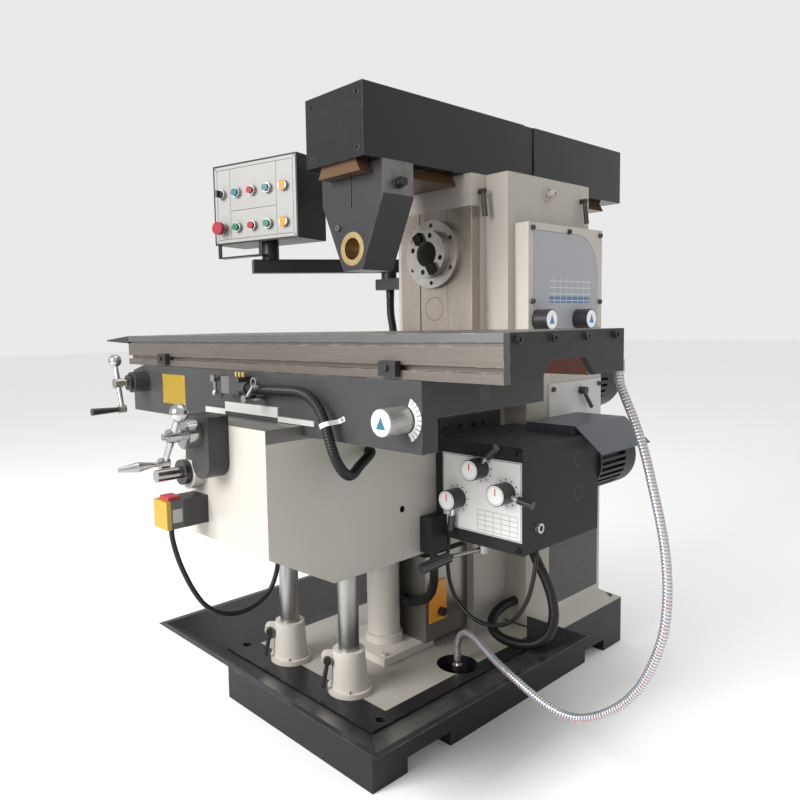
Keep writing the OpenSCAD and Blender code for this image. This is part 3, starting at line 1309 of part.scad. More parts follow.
// Corrugated conduit from the saddle's limit switch to the knee's right side.
conduit_r = 11;
saddle_route = [[5, -712, 872], [40, -712, 872], [90, -712, 873], [140, -712, 874], [185, -712, 874],
  [222, -712, 864], [250, -712, 842], [268, -712, 812], [280, -711, 778], [286, -703, 745], [282,
      -682, 718],
  [267, -652, 702], [246, -618, 698], [224, -582, 704], [206, -545, 712], [193, -520, 717],
  [183, -505, 720], [knee_w / 2 + conduit_r, -500, 720], [knee_w / 2 + end_gap, -500, 720]];
conduit_valley_r = 9.5;
conduit_bore_r = 8;
saddle_ribs = 52;
module saddle_conduit() color(black)
  ribbed_hose(saddle_route, conduit_r, conduit_valley_r, conduit_bore_r, saddle_ribs, 28, hose_sides);

// Conduit from the arm's bracket down to the column's left side.
pendant_points = [[82, 45, 1116], [82, 45, 1090], [83, 46, 1062], [85, 50, 1034], [85, 56, 1006],
  [80, 57, 980], [66, 61, 958], [44, 64, 944], [22, 65, 940], [gap, 65, 940]];
pendant_route = [for (p = pendant_points) [-head_w / 2 - p[0], p[1], p[2]]];
pendant_conduit_r = 13;
pendant_valley_r = 11.5;
pendant_bore_r = 9;
pendant_ribs = 26;
module pendant_conduit() color(black)
  ribbed_hose(pendant_route, pendant_conduit_r, pendant_valley_r, pendant_bore_r, pendant_ribs, 14,
      hose_sides);

// Interlock cable from the switch to the knee's underside, and the feed box's own cable.
interlock_route = [[-95, -864, 567], [-95, -864, 545], [-95, -859, 518], [-95, -848, 480], [-95,
    -832, 440],
  [-95, -812, 400], [-94, -786, 362], [-92, -752, 336], [-89, -712, 322], [-86, -672, 322], [-82,
      -634, 335],
  [-79, -606, 360], [-77, -590, 395], [-76, -585, 420], [-76, -584, 436]];
feed_cable_route = [[186, -240, 475], [186, -240, 455], [184, -240, 425], [184, -240, 385], [192,
    -240, 345],
  [212, -240, 310], [244, -240, 285], [285, -240, 274], [328, -239, 279], [366, -237, 298], [394,
      -233, 330],
  [412, -228, 368], [420, -222, 408], [421, -214, 440], [420, -208, 460], [420, -206, 475]];
interlock_r = 6;
feed_cable_r = 5;
cable_rings = 36;
module knee_cables() color(black) {
  cord(interlock_route, interlock_r, cable_rings, hose_sides);
  cord(feed_cable_route, feed_cable_r, cable_rings, hose_sides);
}

// Ribbed conduit from the column to the feed box, and the plain one behind the screw's tube.
elbow_route = [[160, foot_front - gap, 205],
  [160, 55, 205], [162, 20, 204], [170, -20, 200], [186, -58, 195],
    [212, -90, 189],
  [248, -112, 187], [290, -122, 189], [332, -125, 196], [372, -125, 214], [402, -125, 246], [415,
      -125, 290],
  [410, -125, 338], [392, -125, 382], [370, -125, 418], [356, -125, 448],
  [352, -125, feed_box_z - 2 * end_gap]];
elbow_r = 13;
elbow_valley_r = 11.5;
elbow_bore_r = 9.5;
elbow_ribs = 48;
tube_conduit_route = [[182, -292, 443.5], [182, -292, 418], [180, -289, 385], [172, -283, 350], [154,
    -275, 318],
  [126, -268, 294], [94, -263, 279], [68, -260, 271], [51, -257, 268], [42, -252, 267],
  [40, -246, 267], [40, -guard_front - end_gap, 267]];
tube_conduit_r = 11;
tube_conduit_rings = 30;
module feed_conduits() color(black) {
  ribbed_hose(elbow_route, elbow_r, elbow_valley_r, elbow_bore_r, elbow_ribs, 24, hose_sides);
  cord(tube_conduit_route, tube_conduit_r, tube_conduit_rings, hose_sides);
}

base_casting();
coolant_tray();
column();
column_fittings();
spindle_bearings();
main_motor();
drive_belt();
screw_tube();
post_cups();
way_guard();
overarm();
arbor_support();
arbor_bush();
spindle();
motor_pulley();
knee();
knee_posts();
feed_box();
feed_motor();
crank_housing();
safety_switch();
splash_guard();
lift_screw();
saddle();
saddle_fittings();
table_screw();
table();
table_fittings();
table_crank();
cross_crank();
lift_shaft();
speed_knob_front();
speed_knob_rear();
panel_lever();
saddle_knob();
box_knob_top();
box_knob_left();
box_knob_right();
feed_lever();
overarm_lever_front();
overarm_lever_rear();
post_lever_left();
post_lever_right();
table_clamp_lever();
saddle_clamp_lever();
pendant_arm();
pendant_box();
estop_button();
selector_switch();
blue_button_left();
red_button_top();
blue_button_right();
green_button_left();
red_button_low();
green_button_right();
coolant_hose();
saddle_conduit();
pendant_conduit();
knee_cables();
feed_conduits();
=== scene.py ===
import math

import bpy
from mathutils import Matrix, Vector


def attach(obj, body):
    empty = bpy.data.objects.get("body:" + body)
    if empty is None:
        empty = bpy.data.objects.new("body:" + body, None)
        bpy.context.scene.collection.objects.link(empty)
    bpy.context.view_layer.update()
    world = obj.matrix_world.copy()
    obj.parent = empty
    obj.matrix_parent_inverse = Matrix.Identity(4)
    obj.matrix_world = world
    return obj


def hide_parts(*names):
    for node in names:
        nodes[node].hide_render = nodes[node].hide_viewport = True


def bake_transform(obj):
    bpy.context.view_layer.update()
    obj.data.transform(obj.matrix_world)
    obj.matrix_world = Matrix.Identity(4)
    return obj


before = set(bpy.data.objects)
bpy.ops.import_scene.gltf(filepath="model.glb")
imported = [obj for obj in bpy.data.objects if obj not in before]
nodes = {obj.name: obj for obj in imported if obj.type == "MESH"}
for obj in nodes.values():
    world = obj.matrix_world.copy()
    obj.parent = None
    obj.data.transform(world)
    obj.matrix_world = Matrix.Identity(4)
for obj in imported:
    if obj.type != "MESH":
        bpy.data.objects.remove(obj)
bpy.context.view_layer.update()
scene = bpy.context.scene

# Camera: solved from the photograph's straight edges. It stands to the right of the machine's
# front, a little above the table, and its frame is shifted because the photograph was cropped.
azimuth, elevation, roll = (math.radians(a) for a in (49.18, 5.03, -1.34))
camera_place = (1.331, -1.624, 1.009)
focal_length, sensor_width = 32.157, 36
frame_shift = (0.09125, -0.01475)
back = Vector((math.sin(azimuth) * math.cos(elevation), -math.cos(azimuth) * math.cos(elevation),
               math.sin(elevation)))
level = Vector((math.cos(azimuth), math.sin(azimuth), 0))
rise = back.cross(level)
right = math.cos(roll) * level + math.sin(roll) * rise
up = math.cos(roll) * rise - math.sin(roll) * level
lens = bpy.data.cameras.new("camera")
lens.lens = focal_length
lens.sensor_width = sensor_width
lens.shift_x, lens.shift_y = frame_shift
camera = bpy.data.objects.new("camera", lens)
camera.matrix_world = Matrix((right, up, back)).transposed().to_4x4()
camera.matrix_world.translation = camera_place
scene.collection.objects.link(camera)
scene.camera = camera

# Studio: a pale floor, an even white world and three soft square lamps. The key lamp stands in
# front, so fronts are bright and the machine's right sides are shaded, as in the photograph.
floor_half, floor_pale, world_white, world_strength = 30, (0.93, 0.93, 0.93, 1), (1, 1, 1, 1), 0.82
floor_corners = [(floor_half * a, floor_half * b, 0) for a, b in ((-1, -1), (1, -1), (1, 1), (-1, 1))]
studio_lamps = (("key", (-0.4, -3.6, 2.1), (0, -0.4, 0.7), 1.8, 195),
                ("fill", (3.8, -0.6, 2.2), (0, -0.1, 0.8), 2.4, 2),
                ("top", (0.2, 0.2, 4.6), (0, -0.1, 0.8), 3.2, 40))


def make_piece(name, verts, faces, *finishes):
    """An object of these points and faces, with its finishes in the order of their numbers."""
    mesh = bpy.data.meshes.new(name)
    mesh.from_pydata(verts, [], faces)
    for finish in finishes:
        mesh.materials.append(finish)
    piece = bpy.data.objects.new(name, mesh)
    scene.collection.objects.link(piece)
    return piece


pale_floor = bpy.data.materials.new("pale_floor")
pale_floor.use_nodes = True
floor_shader = pale_floor.node_tree.nodes["Principled BSDF"]
floor_shader.inputs["Base Color"].default_value = floor_pale
floor_shader.inputs["Roughness"].default_value = 0.9
floor = make_piece("floor", floor_corners, [(0, 1, 2, 3)], pale_floor)
world = bpy.data.worlds.new("studio")
world.use_nodes = True
world.node_tree.nodes["Background"].inputs["Color"].default_value = world_white
world.node_tree.nodes["Background"].inputs["Strength"].default_value = world_strength
scene.world = world
for name, place, target, width, power in studio_lamps:
    lamp = bpy.data.lights.new(name, "AREA")
    lamp.size = width
    lamp.energy = power
    light = bpy.data.objects.new(name, lamp)
    light.location = place
    light.rotation_euler = (Vector(target) - Vector(place)).to_track_quat("-Z", "Y").to_euler()
    scene.collection.objects.link(light)
scene.view_settings.view_transform = "Standard"

# Base casting: one large iron casting, held to the floor by anchor bolts. Its tray floor is cream
# enamel, its sides, border and sump pit near black, and the hose nipple in the pit bare steel.
floor_half_width, floor_front, floor_rear, floor_level = 0.240, -0.530, 0.075, 0.1395
pit_x, pit_y, pit_radius, nipple_radius = 0.209, -0.236, 0.0525, 0.0145
cream_clean, cream_soiled = (0.38, 0.357, 0.32), (0.29, 0.272, 0.236)
black_clean, black_soiled, black_rubbed = (0.010, 0.010, 0.012), (0.018, 0.018, 0.020), (0.10, 0.10, 0.10)
nipple_steel = (0.55, 0.54, 0.52)


class Shade:
    """A shader socket with arithmetic, and comparisons that give 1 or 0; add() makes any other node."""

    def __init__(self, tree, socket):
        self.tree = tree
        self.socket = socket

    def add(self, kind, inputs, output=0, **settings):
        node = self.tree.nodes.new(kind)
        for key, value in settings.items():
            setattr(node, key, value)
        for key, value in inputs.items():
            if isinstance(value, Shade):
                self.tree.links.new(value.socket, node.inputs[key])
            else:
                node.inputs[key].default_value = value
        return Shade(self.tree, node.outputs[output])

    def math(self, operation, a, b):
        return self.add("ShaderNodeMath", {0: a, 1: b}, operation=operation)

    def __add__(self, other):
        return self.math("ADD", self, other)

    def __sub__(self, other):
        return self.math("SUBTRACT", self, other)

    def __rsub__(self, other):
        return self.math("SUBTRACT", other, self)

    def __mul__(self, other):
        return self.math("MULTIPLY", self, other)

    def __pow__(self, other):
        return self.math("POWER", self, other)

    def __mod__(self, other):
        return self.math("FLOORED_MODULO", self, other)

    def __abs__(self):
        return self.math("ABSOLUTE", self, 0.0)

    def __gt__(self, other):
        return self.math("GREATER_THAN", self, other)

    def __lt__(self, other):
        return self.math("LESS_THAN", self, other)

    def __or__(self, other):
        return self.math("MAXIMUM", self, other)

    __radd__ = __add__
    __rmul__ = __mul__
    __and__ = __mul__


def new_finish(name):
    """A new material, and the point on its surface in the machine's frame."""
    finish = bpy.data.materials.new(name)
    finish.use_nodes = True
    tree = finish.node_tree
    return finish, Shade(tree, tree.nodes.new("ShaderNodeTexCoord").outputs["Object"])


def axes(at):
    """The x, y and z of a point."""
    return [at.add("ShaderNodeSeparateXYZ", {0: at}, output=i) for i in range(3)]


def mottle(at, scale, detail, roughness=0.5):
    """Irregular patches from 0 to 1, about as many to the metre as the scale says."""
    return at.add("ShaderNodeTexNoise",
                  {"Vector": at, "Scale": scale, "Detail": detail, "Roughness": roughness})


def within(value, low, high):
    """1 between the two limits, 0 elsewhere."""
    return (value > low) & (value < high)


def from_axis(a, b):
    """Distance from an axis, from the distances along two directions square to it."""
    return (a ** 2.0 + b ** 2.0) ** 0.5


def layered(colour, *coats):
    """The colour with each coat, a mask and its tint, laid over it in turn."""
    for mask, tint in coats:
        under, over = (c if isinstance(c, Shade) else (*c, 1) for c in (colour, tint))
        colour = mask.add("ShaderNodeMix", {0: mask, 6: under, 7: over}, output=2, data_type="RGBA")
    return colour


def worn(at, colour, rubbed, roughness, grain=None, grain_strength=0.0):
    """Sockets of a worn skin: its edges are rounded and rubbed in patches, its gloss is uneven."""
    edge_radius, edge_turn, bare_patch, rub_strength = 0.0022, 0.96, 0.53, 0.7
    gloss_spread, relief_height = 0.20, 0.001
    rounded = at.add("ShaderNodeBevel", {"Radius": edge_radius}, samples=4)
    square = at.add("ShaderNodeNewGeometry", {}, output="Normal")
    flush = at.add("ShaderNodeVectorMath", {0: rounded, 1: square}, output="Value", operation="DOT_PRODUCT")
    patches = mottle(at, 28.0, 6.0, 0.65)
    edges = (flush < edge_turn) & (patches > bare_patch)
    if not isinstance(roughness, Shade):
        roughness = patches * gloss_spread + (roughness - gloss_spread / 2)
    if grain is not None:
        rounded = at.add("ShaderNodeBump", {"Height": grain, "Strength": grain_strength,
                                            "Distance": relief_height, "Normal": rounded})
    return {"Base Color": layered(colour, (edges * rub_strength, rubbed)), "Roughness": roughness,
            "Normal": rounded}


def dress(finish, sockets, *pieces):
    """Sets or links the sockets of a finish's shader, and gives the finish to the pieces named."""
    shader = finish.node_tree.nodes["Principled BSDF"]
    for name, value in sockets.items():
        if isinstance(value, Shade):
            finish.node_tree.links.new(value.socket, shader.inputs[name])
        else:
            shader.inputs[name].default_value = value
    for piece in pieces:
        nodes[piece].data.materials.clear()
        nodes[piece].data.materials.append(finish)


base_paint, at = new_finish("base_enamel")
x, y, z = axes(at)
soil = mottle(at, 7.0, 6.0)
from_pit = from_axis(x - pit_x, y - pit_y)
nipple = from_pit < nipple_radius
floor_area = (abs(x) < floor_half_width) & within(y, floor_front, floor_rear) & (z > floor_level)
floor_area = floor_area & (1.0 - (from_pit < pit_radius))
tray_floor = layered(cream_clean, (soil, cream_soiled))
colour = layered(black_clean, (soil, black_soiled), (floor_area, tray_floor), (nipple, nipple_steel))
dress(base_paint, worn(at, colour, black_rubbed, roughness=0.32)
      | {"Metallic": nipple, "Specular IOR Level": 0.22}, "base_casting")

# Coolant tray: steel sheet that flares from the base's upper edge to a rim and is closed at the
# back. It is bent and welded, in glossy near-black enamel, stained where coolant has dried on it.
tray_black, tray_stain, tray_rubbed = (0.012, 0.013, 0.015), (0.028, 0.029, 0.031), (0.12, 0.12, 0.12)
tray_paint, at = new_finish("tray_enamel")
stains = mottle(at, 6.0, 8.0, 0.65)
colour = layered(tray_black, (stains, tray_stain))
dress(tray_paint, worn(at, colour, tray_rubbed, roughness=stains * 0.25 + 0.14), "coolant_tray")

# Column: a hollow iron casting bolted to the base, in cream enamel. Its front ways are scraped bare
# iron with the joints of a strip and a plug, and a rectangle on the right of its foot is near black.
way_half_width, way_side_band, way_face, way_root = 0.128, 0.0005, -0.0622, -0.028
way_foot, way_top = 0.41, 1.318
wide_joint_x, wide_joint_half, thin_joint_x, thin_joint_half = -0.055, 0.0022, 0.045, 0.0006
way_plug_x, way_plug_z, way_plug_radius, way_plug_line = -0.004, 1.048, 0.032, 0.0007
foot_patch_face, foot_patch_edges = 0.2418, (0.131, 0.398, 0.195, 0.672)
column_clean, column_soiled, cream_rubbed = (0.39, 0.363, 0.322), (0.34, 0.317, 0.278), (0.33, 0.31, 0.27)
iron_dark, iron_light = (0.27, 0.235, 0.20), (0.36, 0.315, 0.275)
joint_dark, foot_patch_black = (0.05, 0.042, 0.035), (0.022, 0.022, 0.023)


def in_panel(a, b, edges, gap=0.0):
    """1 inside a rectangle, whose edges are low and high in a and then in b, drawn in by the gap."""
    low_a, high_a, low_b, high_b = edges
    return within(a, low_a + gap, high_a - gap) & within(b, low_b + gap, high_b - gap)


column_paint, at = new_finish("column_enamel")
x, y, z = axes(at)
soil = mottle(at, 4.0, 6.0, 0.6)
scraping = mottle(at, 90.0, 4.0)
way_height = within(z, way_foot, way_top)
way_front = (y < way_face) & way_height
way_sides = (abs(abs(x) - way_half_width) < way_side_band) & (y < way_root) & way_height
ways = way_front | way_sides
joints = (abs(x - wide_joint_x) < wide_joint_half) | (abs(x - thin_joint_x) < thin_joint_half)
plug_ring = abs(from_axis(x - way_plug_x, z - way_plug_z) - way_plug_radius) < way_plug_line
# A near-black rectangle on the right side of the foot.
foot_dark_patch = (x > foot_patch_face) & in_panel(y, z, foot_patch_edges)
iron = layered(iron_dark, (scraping, iron_light))
colour = layered(column_clean, (soil, column_soiled), (ways, iron),
                 (way_front & (joints | plug_ring), joint_dark), (foot_dark_patch, foot_patch_black))
dress(column_paint, worn(at, colour, cream_rubbed, roughness=0.36, grain=scraping, grain_strength=0.06)
      | {"Metallic": ways * 0.75}, "column")

# Column fittings: a cream side cover with a silver speed plate, a pale panel below it, the left door
# and the pendant's black bracket. All are held to the column by black socket screws.
plate_seat, plate_face = 0.2419, 0.2425
plate_front, plate_rear, plate_top, plate_round, plate_rim = 0.052, 0.386, 1.250, 0.110, 0.002
grid_edges, grid_step_y, grid_step_z, grid_line = (0.130, 0.345, 1.056, 1.127), 0.0306, 0.0177, 0.0022
band_top = 1.074
panel_back, panel_face, panel_low, panel_top = 0.2455, 0.2465, 0.68, 0.84
cover_screw_face, cover_low, panel_screw_face, panel_screws_top = 0.2426, 0.985, 0.2468, 0.9
bracket_face, bracket_low = -0.1985, 1.10
cover_clean, cover_soiled, panel_pale = (0.46, 0.432, 0.385), (0.41, 0.384, 0.34), (0.46, 0.452, 0.436)
plate_silver, rim_grey = (0.31, 0.32, 0.335), (0.16, 0.16, 0.18)
band_blue, line_pale = (0.06, 0.16, 0.30), (0.52, 0.53, 0.55)
screw_black, bracket_black = (0.02, 0.02, 0.02), (0.025, 0.026, 0.028)
fitting_paint, at = new_finish("cover_finish")
x, y, z = axes(at)
soil = mottle(at, 5.0, 5.0)
past_round_y, past_round_z = y - (plate_rear - plate_round), z - (plate_top - plate_round)
round_corner = (past_round_y > 0.0) & (past_round_z > 0.0)
from_round = from_axis(past_round_y, past_round_z)
plate = within(x, plate_seat, plate_face) & within(y, plate_front, plate_rear) & (z < plate_top)
plate = plate & (1.0 - (round_corner & (from_round > plate_round)))
rim = (y < plate_front + plate_rim) | (y > plate_rear - plate_rim) | (z > plate_top - plate_rim)
rim = plate & (rim | (round_corner & (from_round > plate_round - plate_rim)))
grid = plate & in_panel(y, z, grid_edges)
grid_lines = grid & (((y % grid_step_y) < grid_line) | ((z % grid_step_z) < grid_line))
panel = within(x, panel_back, panel_face) & within(z, panel_low, panel_top)
screws = ((x > cover_screw_face) & (z > cover_low)) | ((x > panel_screw_face) & (z < panel_screws_top))
bracket = (x < bracket_face) & (z > bracket_low)
colour = layered(cover_clean, (soil, cover_soiled), (plate, plate_silver), (rim, rim_grey),
                 (grid & (z < band_top), band_blue), (grid_lines, line_pale), (panel, panel_pale),
                 (screws, screw_black), (bracket, bracket_black))
dress(fitting_paint, worn(at, colour, cream_rubbed, roughness=0.34), "column_fittings")

# Head boss: a small round boss cast on the right of the column's head, with a short drilled stub
# standing in it, painted with the column.
boss_at = Vector((0.198, 0.186, 1.358))
boss_profile = ((0.0200, 0.0), (0.0200, 0.0034), (0.0192, 0.0042), (0.0165, 0.0042), (0.0155, 0.0020),
                (0.0092, 0.0020), (0.0092, 0.0255), (0.0082, 0.0265), (0.0042, 0.0265), (0.0042, 0.0160))


def add_turned(verts, faces, profile, centre, axis, across, sides):
    """Adds a turned form: a ring for each radius and height of the profile, closed at the last."""
    up = axis.cross(across)
    start = len(verts)
    for radius, height in profile:
        first = len(verts)
        for k in range(sides):
            angle = 2 * math.pi * k / sides
            verts.append(centre + axis * height + radius * (math.cos(angle) * across + math.sin(angle) * up))
        if first > start:
            faces += [(first - sides + k, first - sides + (k + 1) % sides,
                       first + (k + 1) % sides, first + k) for k in range(sides)]
    faces.append(tuple(range(len(verts) - sides, len(verts))))


verts, faces = [], []
add_turned(verts, faces, boss_profile, boss_at, axis=Vector((1, 0, 0)), across=Vector((0, 1, 0)), sides=32)
boss = make_piece("head_boss", verts, faces, column_paint)
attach(boss, "frame")

# Spindle bearings: steel rings pressed into the column's head, and the turned cover that is screwed
# to the ways round the spindle nose. Fine lathe marks show on the cover.
bearing_dark, bearing_light = (0.33, 0.315, 0.29), (0.46, 0.44, 0.41)
bearing_steel, at = new_finish("turned_steel")
lathe_marks = mottle(at, 60.0, 5.0)
dress(bearing_steel, {"Base Color": layered(bearing_dark, (lathe_marks, bearing_light)),
                      "Metallic": 0.9, "Roughness": 0.34}, "spindle_bearings")

# Lifting and table screws: turned steel bars, hung in the knee and in the table. They are dark with
# oil, and dust sticks to the oil in places.
oil_dark, oil_dusty = (0.045, 0.042, 0.038), (0.085, 0.08, 0.072)
screw_steel, at = new_finish("oiled_screw_steel")
oil = mottle(at, 35.0, 5.0)
dress(screw_steel, {"Base Color": layered(oil_dark, (oil, oil_dusty)), "Metallic": 0.8,
                    "Roughness": oil * 0.2 + 0.25}, "lift_screw", "table_screw")

# Motors and belt: finned iron bodies bolted to the column and the feed box, in dark enamel like the
# motor's pulley and the pendant's arm. The belt is plain black rubber.
motor_black, belt_black = (0.014, 0.014, 0.015), (0.015, 0.015, 0.015)


def flat_finish(name, tint, roughness, grain, spread, *pieces, metallic=0.0, specular=0.5):
    """A finish of one tint that varies a little in tint, gloss and relief, in patches of the grain."""
    gloss_spread, relief_strength, relief_height = 0.16, 0.04, 0.001
    finish, at = new_finish(name)
    patches = mottle(at, grain, 5.0, 0.6)
    deep, light = ([part * share for part in tint] for share in (1 - spread, 1 + spread))
    relief = at.add("ShaderNodeBump",
                    {"Height": patches, "Strength": relief_strength, "Distance": relief_height})
    dress(finish, {"Base Color": layered(deep, (patches, light)), "Normal": relief,
                   "Roughness": patches * gloss_spread + (roughness - gloss_spread / 2),
                   "Metallic": metallic, "Specular IOR Level": specular}, *pieces)
    return finish


flat_finish("motor_enamel", motor_black, 0.42, 14.0, 0.35,
            "main_motor", "feed_motor", "motor_pulley", "pendant_arm", specular=0.25)
flat_finish("belt_rubber", belt_black, 0.7, 60.0, 0.30, "drive_belt")

# Screw tube and post cups: a turned tube on a square plate round the lifting screw, and two flared
# cast sleeves for the posts, all bolted to the base and sprayed with thick cream enamel.
enamel_clean, enamel_soiled = (0.51, 0.482, 0.432), (0.45, 0.422, 0.374)
cream, at = new_finish("cream_enamel")
soil = mottle(at, 5.0, 6.0, 0.6)
orange_peel = mottle(at, 160.0, 2.0)
colour = layered(enamel_clean, (soil, enamel_soiled))
dress(cream, worn(at, colour, cream_rubbed, roughness=0.36, grain=orange_peel, grain_strength=0.05)
      | {"Coat Weight": 0.15}, "screw_tube", "post_cups")

# Way guard: folded and brushed stainless sheet that stands on the base over the lower ways. An
# orange cover plate is screwed to its right side, with a black plug in it.
cover_plate_face, plug_face = 0.1052, 0.1082
sheet_dark, sheet_light = (0.22, 0.209, 0.192), (0.34, 0.324, 0.30)
plate_orange, plug_black = (0.75, 0.30, 0.03), (0.02, 0.02, 0.02)


def brushed(at, lines, detail):
    """Fine lines left by brushing or grinding, so many to the metre along each axis."""
    return mottle(at.add("ShaderNodeMapping", {0: at, "Scale": lines}), 1.0, detail)


guard_metal, at = new_finish("guard_stainless")
x = axes(at)[0]
cover_plate = x > cover_plate_face
colour = layered(sheet_dark, (brushed(at, (40.0, 40.0, 900.0), 3.0), sheet_light),
                 (cover_plate, plate_orange), (x > plug_face, plug_black))
dress(guard_metal, {"Base Color": colour, "Metallic": 1.0 - cover_plate, "Roughness": 0.33}, "way_guard")

# Over-arm: a hollow cast beam that slides in the column's head, black with a fine orange peel. The
# dovetail under it is bare and brown with grease, that brown darkened as painted shade under the
# arm, and a plate closes its front.
underside_top = 1.4028
arm_black, arm_soiled, arm_rubbed = (0.007, 0.007, 0.008), (0.013, 0.013, 0.015), (0.10, 0.10, 0.10)
grease_and_shade_brown = (0.085, 0.046, 0.023)
arm_paint, at = new_finish("overarm_enamel")
z = axes(at)[2]
soil = mottle(at, 5.0, 6.0)
orange_peel = mottle(at, 220.0, 2.0)
# Painted shade: the grease brown under the arm is darkened for the shade that falls there.
colour = layered(arm_black, (soil, arm_soiled), (z < underside_top, grease_and_shade_brown))
dress(arm_paint, worn(at, colour, arm_rubbed, roughness=0.24, grain=orange_peel, grain_strength=0.10)
      | {"Specular IOR Level": 0.32}, "overarm")

# Arbor support: a tapering cast hanger clamped on the over-arm's dovetail, in black enamel. Its
# shoulders are ground bare, the clamp screw in front is bare too, and the nut on its right is black.
shoulder_face, shoulder_low, screw_seat, nut_face = 0.1095, 1.322, -0.3792, 0.1102
support_black, support_rubbed, nut_black = (0.024, 0.024, 0.026), (0.16, 0.16, 0.155), (0.010, 0.010, 0.010)
ground_dark, ground_light = (0.09, 0.09, 0.088), (0.22, 0.22, 0.215)
support_paint, at = new_finish("support_enamel")
x, y, z = axes(at)
orange_peel = mottle(at, 120.0, 3.0)
bare = ((abs(x) > shoulder_face) & (z > shoulder_low)) | (y < screw_seat)
nut = x > nut_face
ground = layered(ground_dark, (mottle(at, 30.0, 6.0), ground_light))
colour = layered(support_black, (bare, ground), (nut, nut_black))
dress(support_paint, worn(at, colour, support_rubbed, roughness=0.34, grain=orange_peel, grain_strength=0.10)
      | {"Metallic": (bare & (1.0 - nut)) * 0.7, "Specular IOR Level": 0.35}, "arbor_support")

# Arbor bush: a turned bronze sleeve, pressed into the arbor support, in which the arbor's end runs.
# It is bored and polished by use.
flat_finish("bush_bronze", (0.46, 0.335, 0.17), 0.32, 70.0, 0.22, "arbor_bush", metallic=0.9)

# Spindle: a hardened and ground steel shaft with a tapered nose, running in the column's bearings.
# The two driving keys screwed to its face are black.
key_seat = -0.1003
nose_dark, nose_light, key_black = (0.36, 0.348, 0.322), (0.48, 0.463, 0.432), (0.02, 0.02, 0.02)
nose_steel, at = new_finish("spindle_steel")
y = axes(at)[1]
colour = layered(nose_dark, (mottle(at, 45.0, 4.0), nose_light), (y < key_seat, key_black))
dress(nose_steel, {"Base Color": colour, "Metallic": 0.85, "Roughness": 0.30}, "spindle")

# Knee: an iron casting that slides up the column's ways, in cream enamel. The ways along its top are
# ground and dark, and a black disc of painted shade darkens the small drilled hole in its right side.
way_level, side_way_face, side_way_low = 0.7982, 0.1648, 0.770
hole_side, hole_y, hole_z, hole_radius = 0.14, -0.386, 0.563, 0.0083
knee_clean, knee_soiled, knee_rubbed = (0.41, 0.388, 0.35), (0.36, 0.34, 0.302), (0.30, 0.28, 0.245)
way_grey, hole_shade_black = (0.16, 0.155, 0.15), (0.01, 0.01, 0.01)
knee_paint, at = new_finish("knee_enamel")
x, y, z = axes(at)
soil = mottle(at, 5.0, 6.0)
ways = (z > way_level) | ((abs(x) > side_way_face) & (z > side_way_low))
# Painted shade: a black disc over the drilled hole, for the dark inside of it.
hole_shade = (x > hole_side) & (from_axis(y - hole_y, z - hole_z) < hole_radius)
colour = layered(knee_clean, (soil, knee_soiled), (ways, way_grey), (hole_shade, hole_shade_black))
dress(knee_paint, worn(at, colour, knee_rubbed, roughness=0.36) | {"Metallic": ways * 0.6}, "knee")

# Support posts: two ground steel bars fixed in the knee, which slide down through the post cups.
# They are satin from the grinding and dulled by hands and oil.
post_dark, post_light = (0.27, 0.263, 0.252), (0.36, 0.352, 0.338)
post_steel, at = new_finish("ground_post_steel")
grinding = brushed(at, (30.0, 30.0, 500.0), 3.0)
stains = mottle(at, 22.0, 6.0)
dress(post_steel, {"Base Color": layered(post_dark, (grinding, post_light)), "Metallic": 1.0,
                   "Roughness": stains * 0.24 + 0.22}, "knee_posts")

# Cross crank and saddle clamps: a steel ball crank keyed to its shaft and two small levers on studs
# in the saddle's apron, all polished and chromed.
chrome = flat_finish("chrome", (0.44, 0.44, 0.44), 0.16, 40.0, 0.10,
                     "cross_crank", "table_clamp_lever", "saddle_clamp_lever", metallic=1.0)

# Feed box: a cast gear case bolted to the knee's right side, in charcoal enamel with black screws, a
# sight glass and two side plugs. Its white panel has ticks round the knobs and an empty table.
box_knobs = (("box_knob_top", 0.302, 0.664), ("box_knob_left", 0.234, 0.581),
             ("box_knob_right", 0.375, 0.616))
box_face, box_face_back = -0.2612, -0.2607
white_edges, frame_outer, frame_inner = (0.188, 0.4165, 0.505, 0.690), 0.0015, 0.0035
table_edges, table_column, table_row, table_line = (0.292, 0.4065, 0.514, 0.5635), 0.0227, 0.0121, 0.0010
tick_inner, tick_outer, tick_step, tick_width = 0.0285, 0.0335, 0.5236, 0.10
screw_seat, screws_left, junction_right, junction_face = -0.2613, 0.1651, 0.2005, -0.2615
box_right, sight_seat, sight_y, sight_z, sight_radius = 0.4195, 0.4203, -0.200, 0.530, 0.0068
plug_y, plug_high, plug_low, plug_radius, plug_line = -0.025, 0.668, 0.583, 0.018, 0.0007
box_charcoal, box_soiled, box_rubbed = (0.019, 0.019, 0.020), (0.029, 0.029, 0.030), (0.11, 0.11, 0.11)
panel_white, line_grey, tick_black = (0.66, 0.655, 0.64), (0.2, 0.2, 0.2), (0.12, 0.12, 0.12)
plug_grey, sight_chrome, glass_dark = (0.075, 0.075, 0.075), (0.5, 0.5, 0.49), (0.02, 0.02, 0.018)


def bearing(up, across):
    """Angle round a centre, from the distances above it and to the side of it."""
    return up.math("ARCTAN2", up, across)


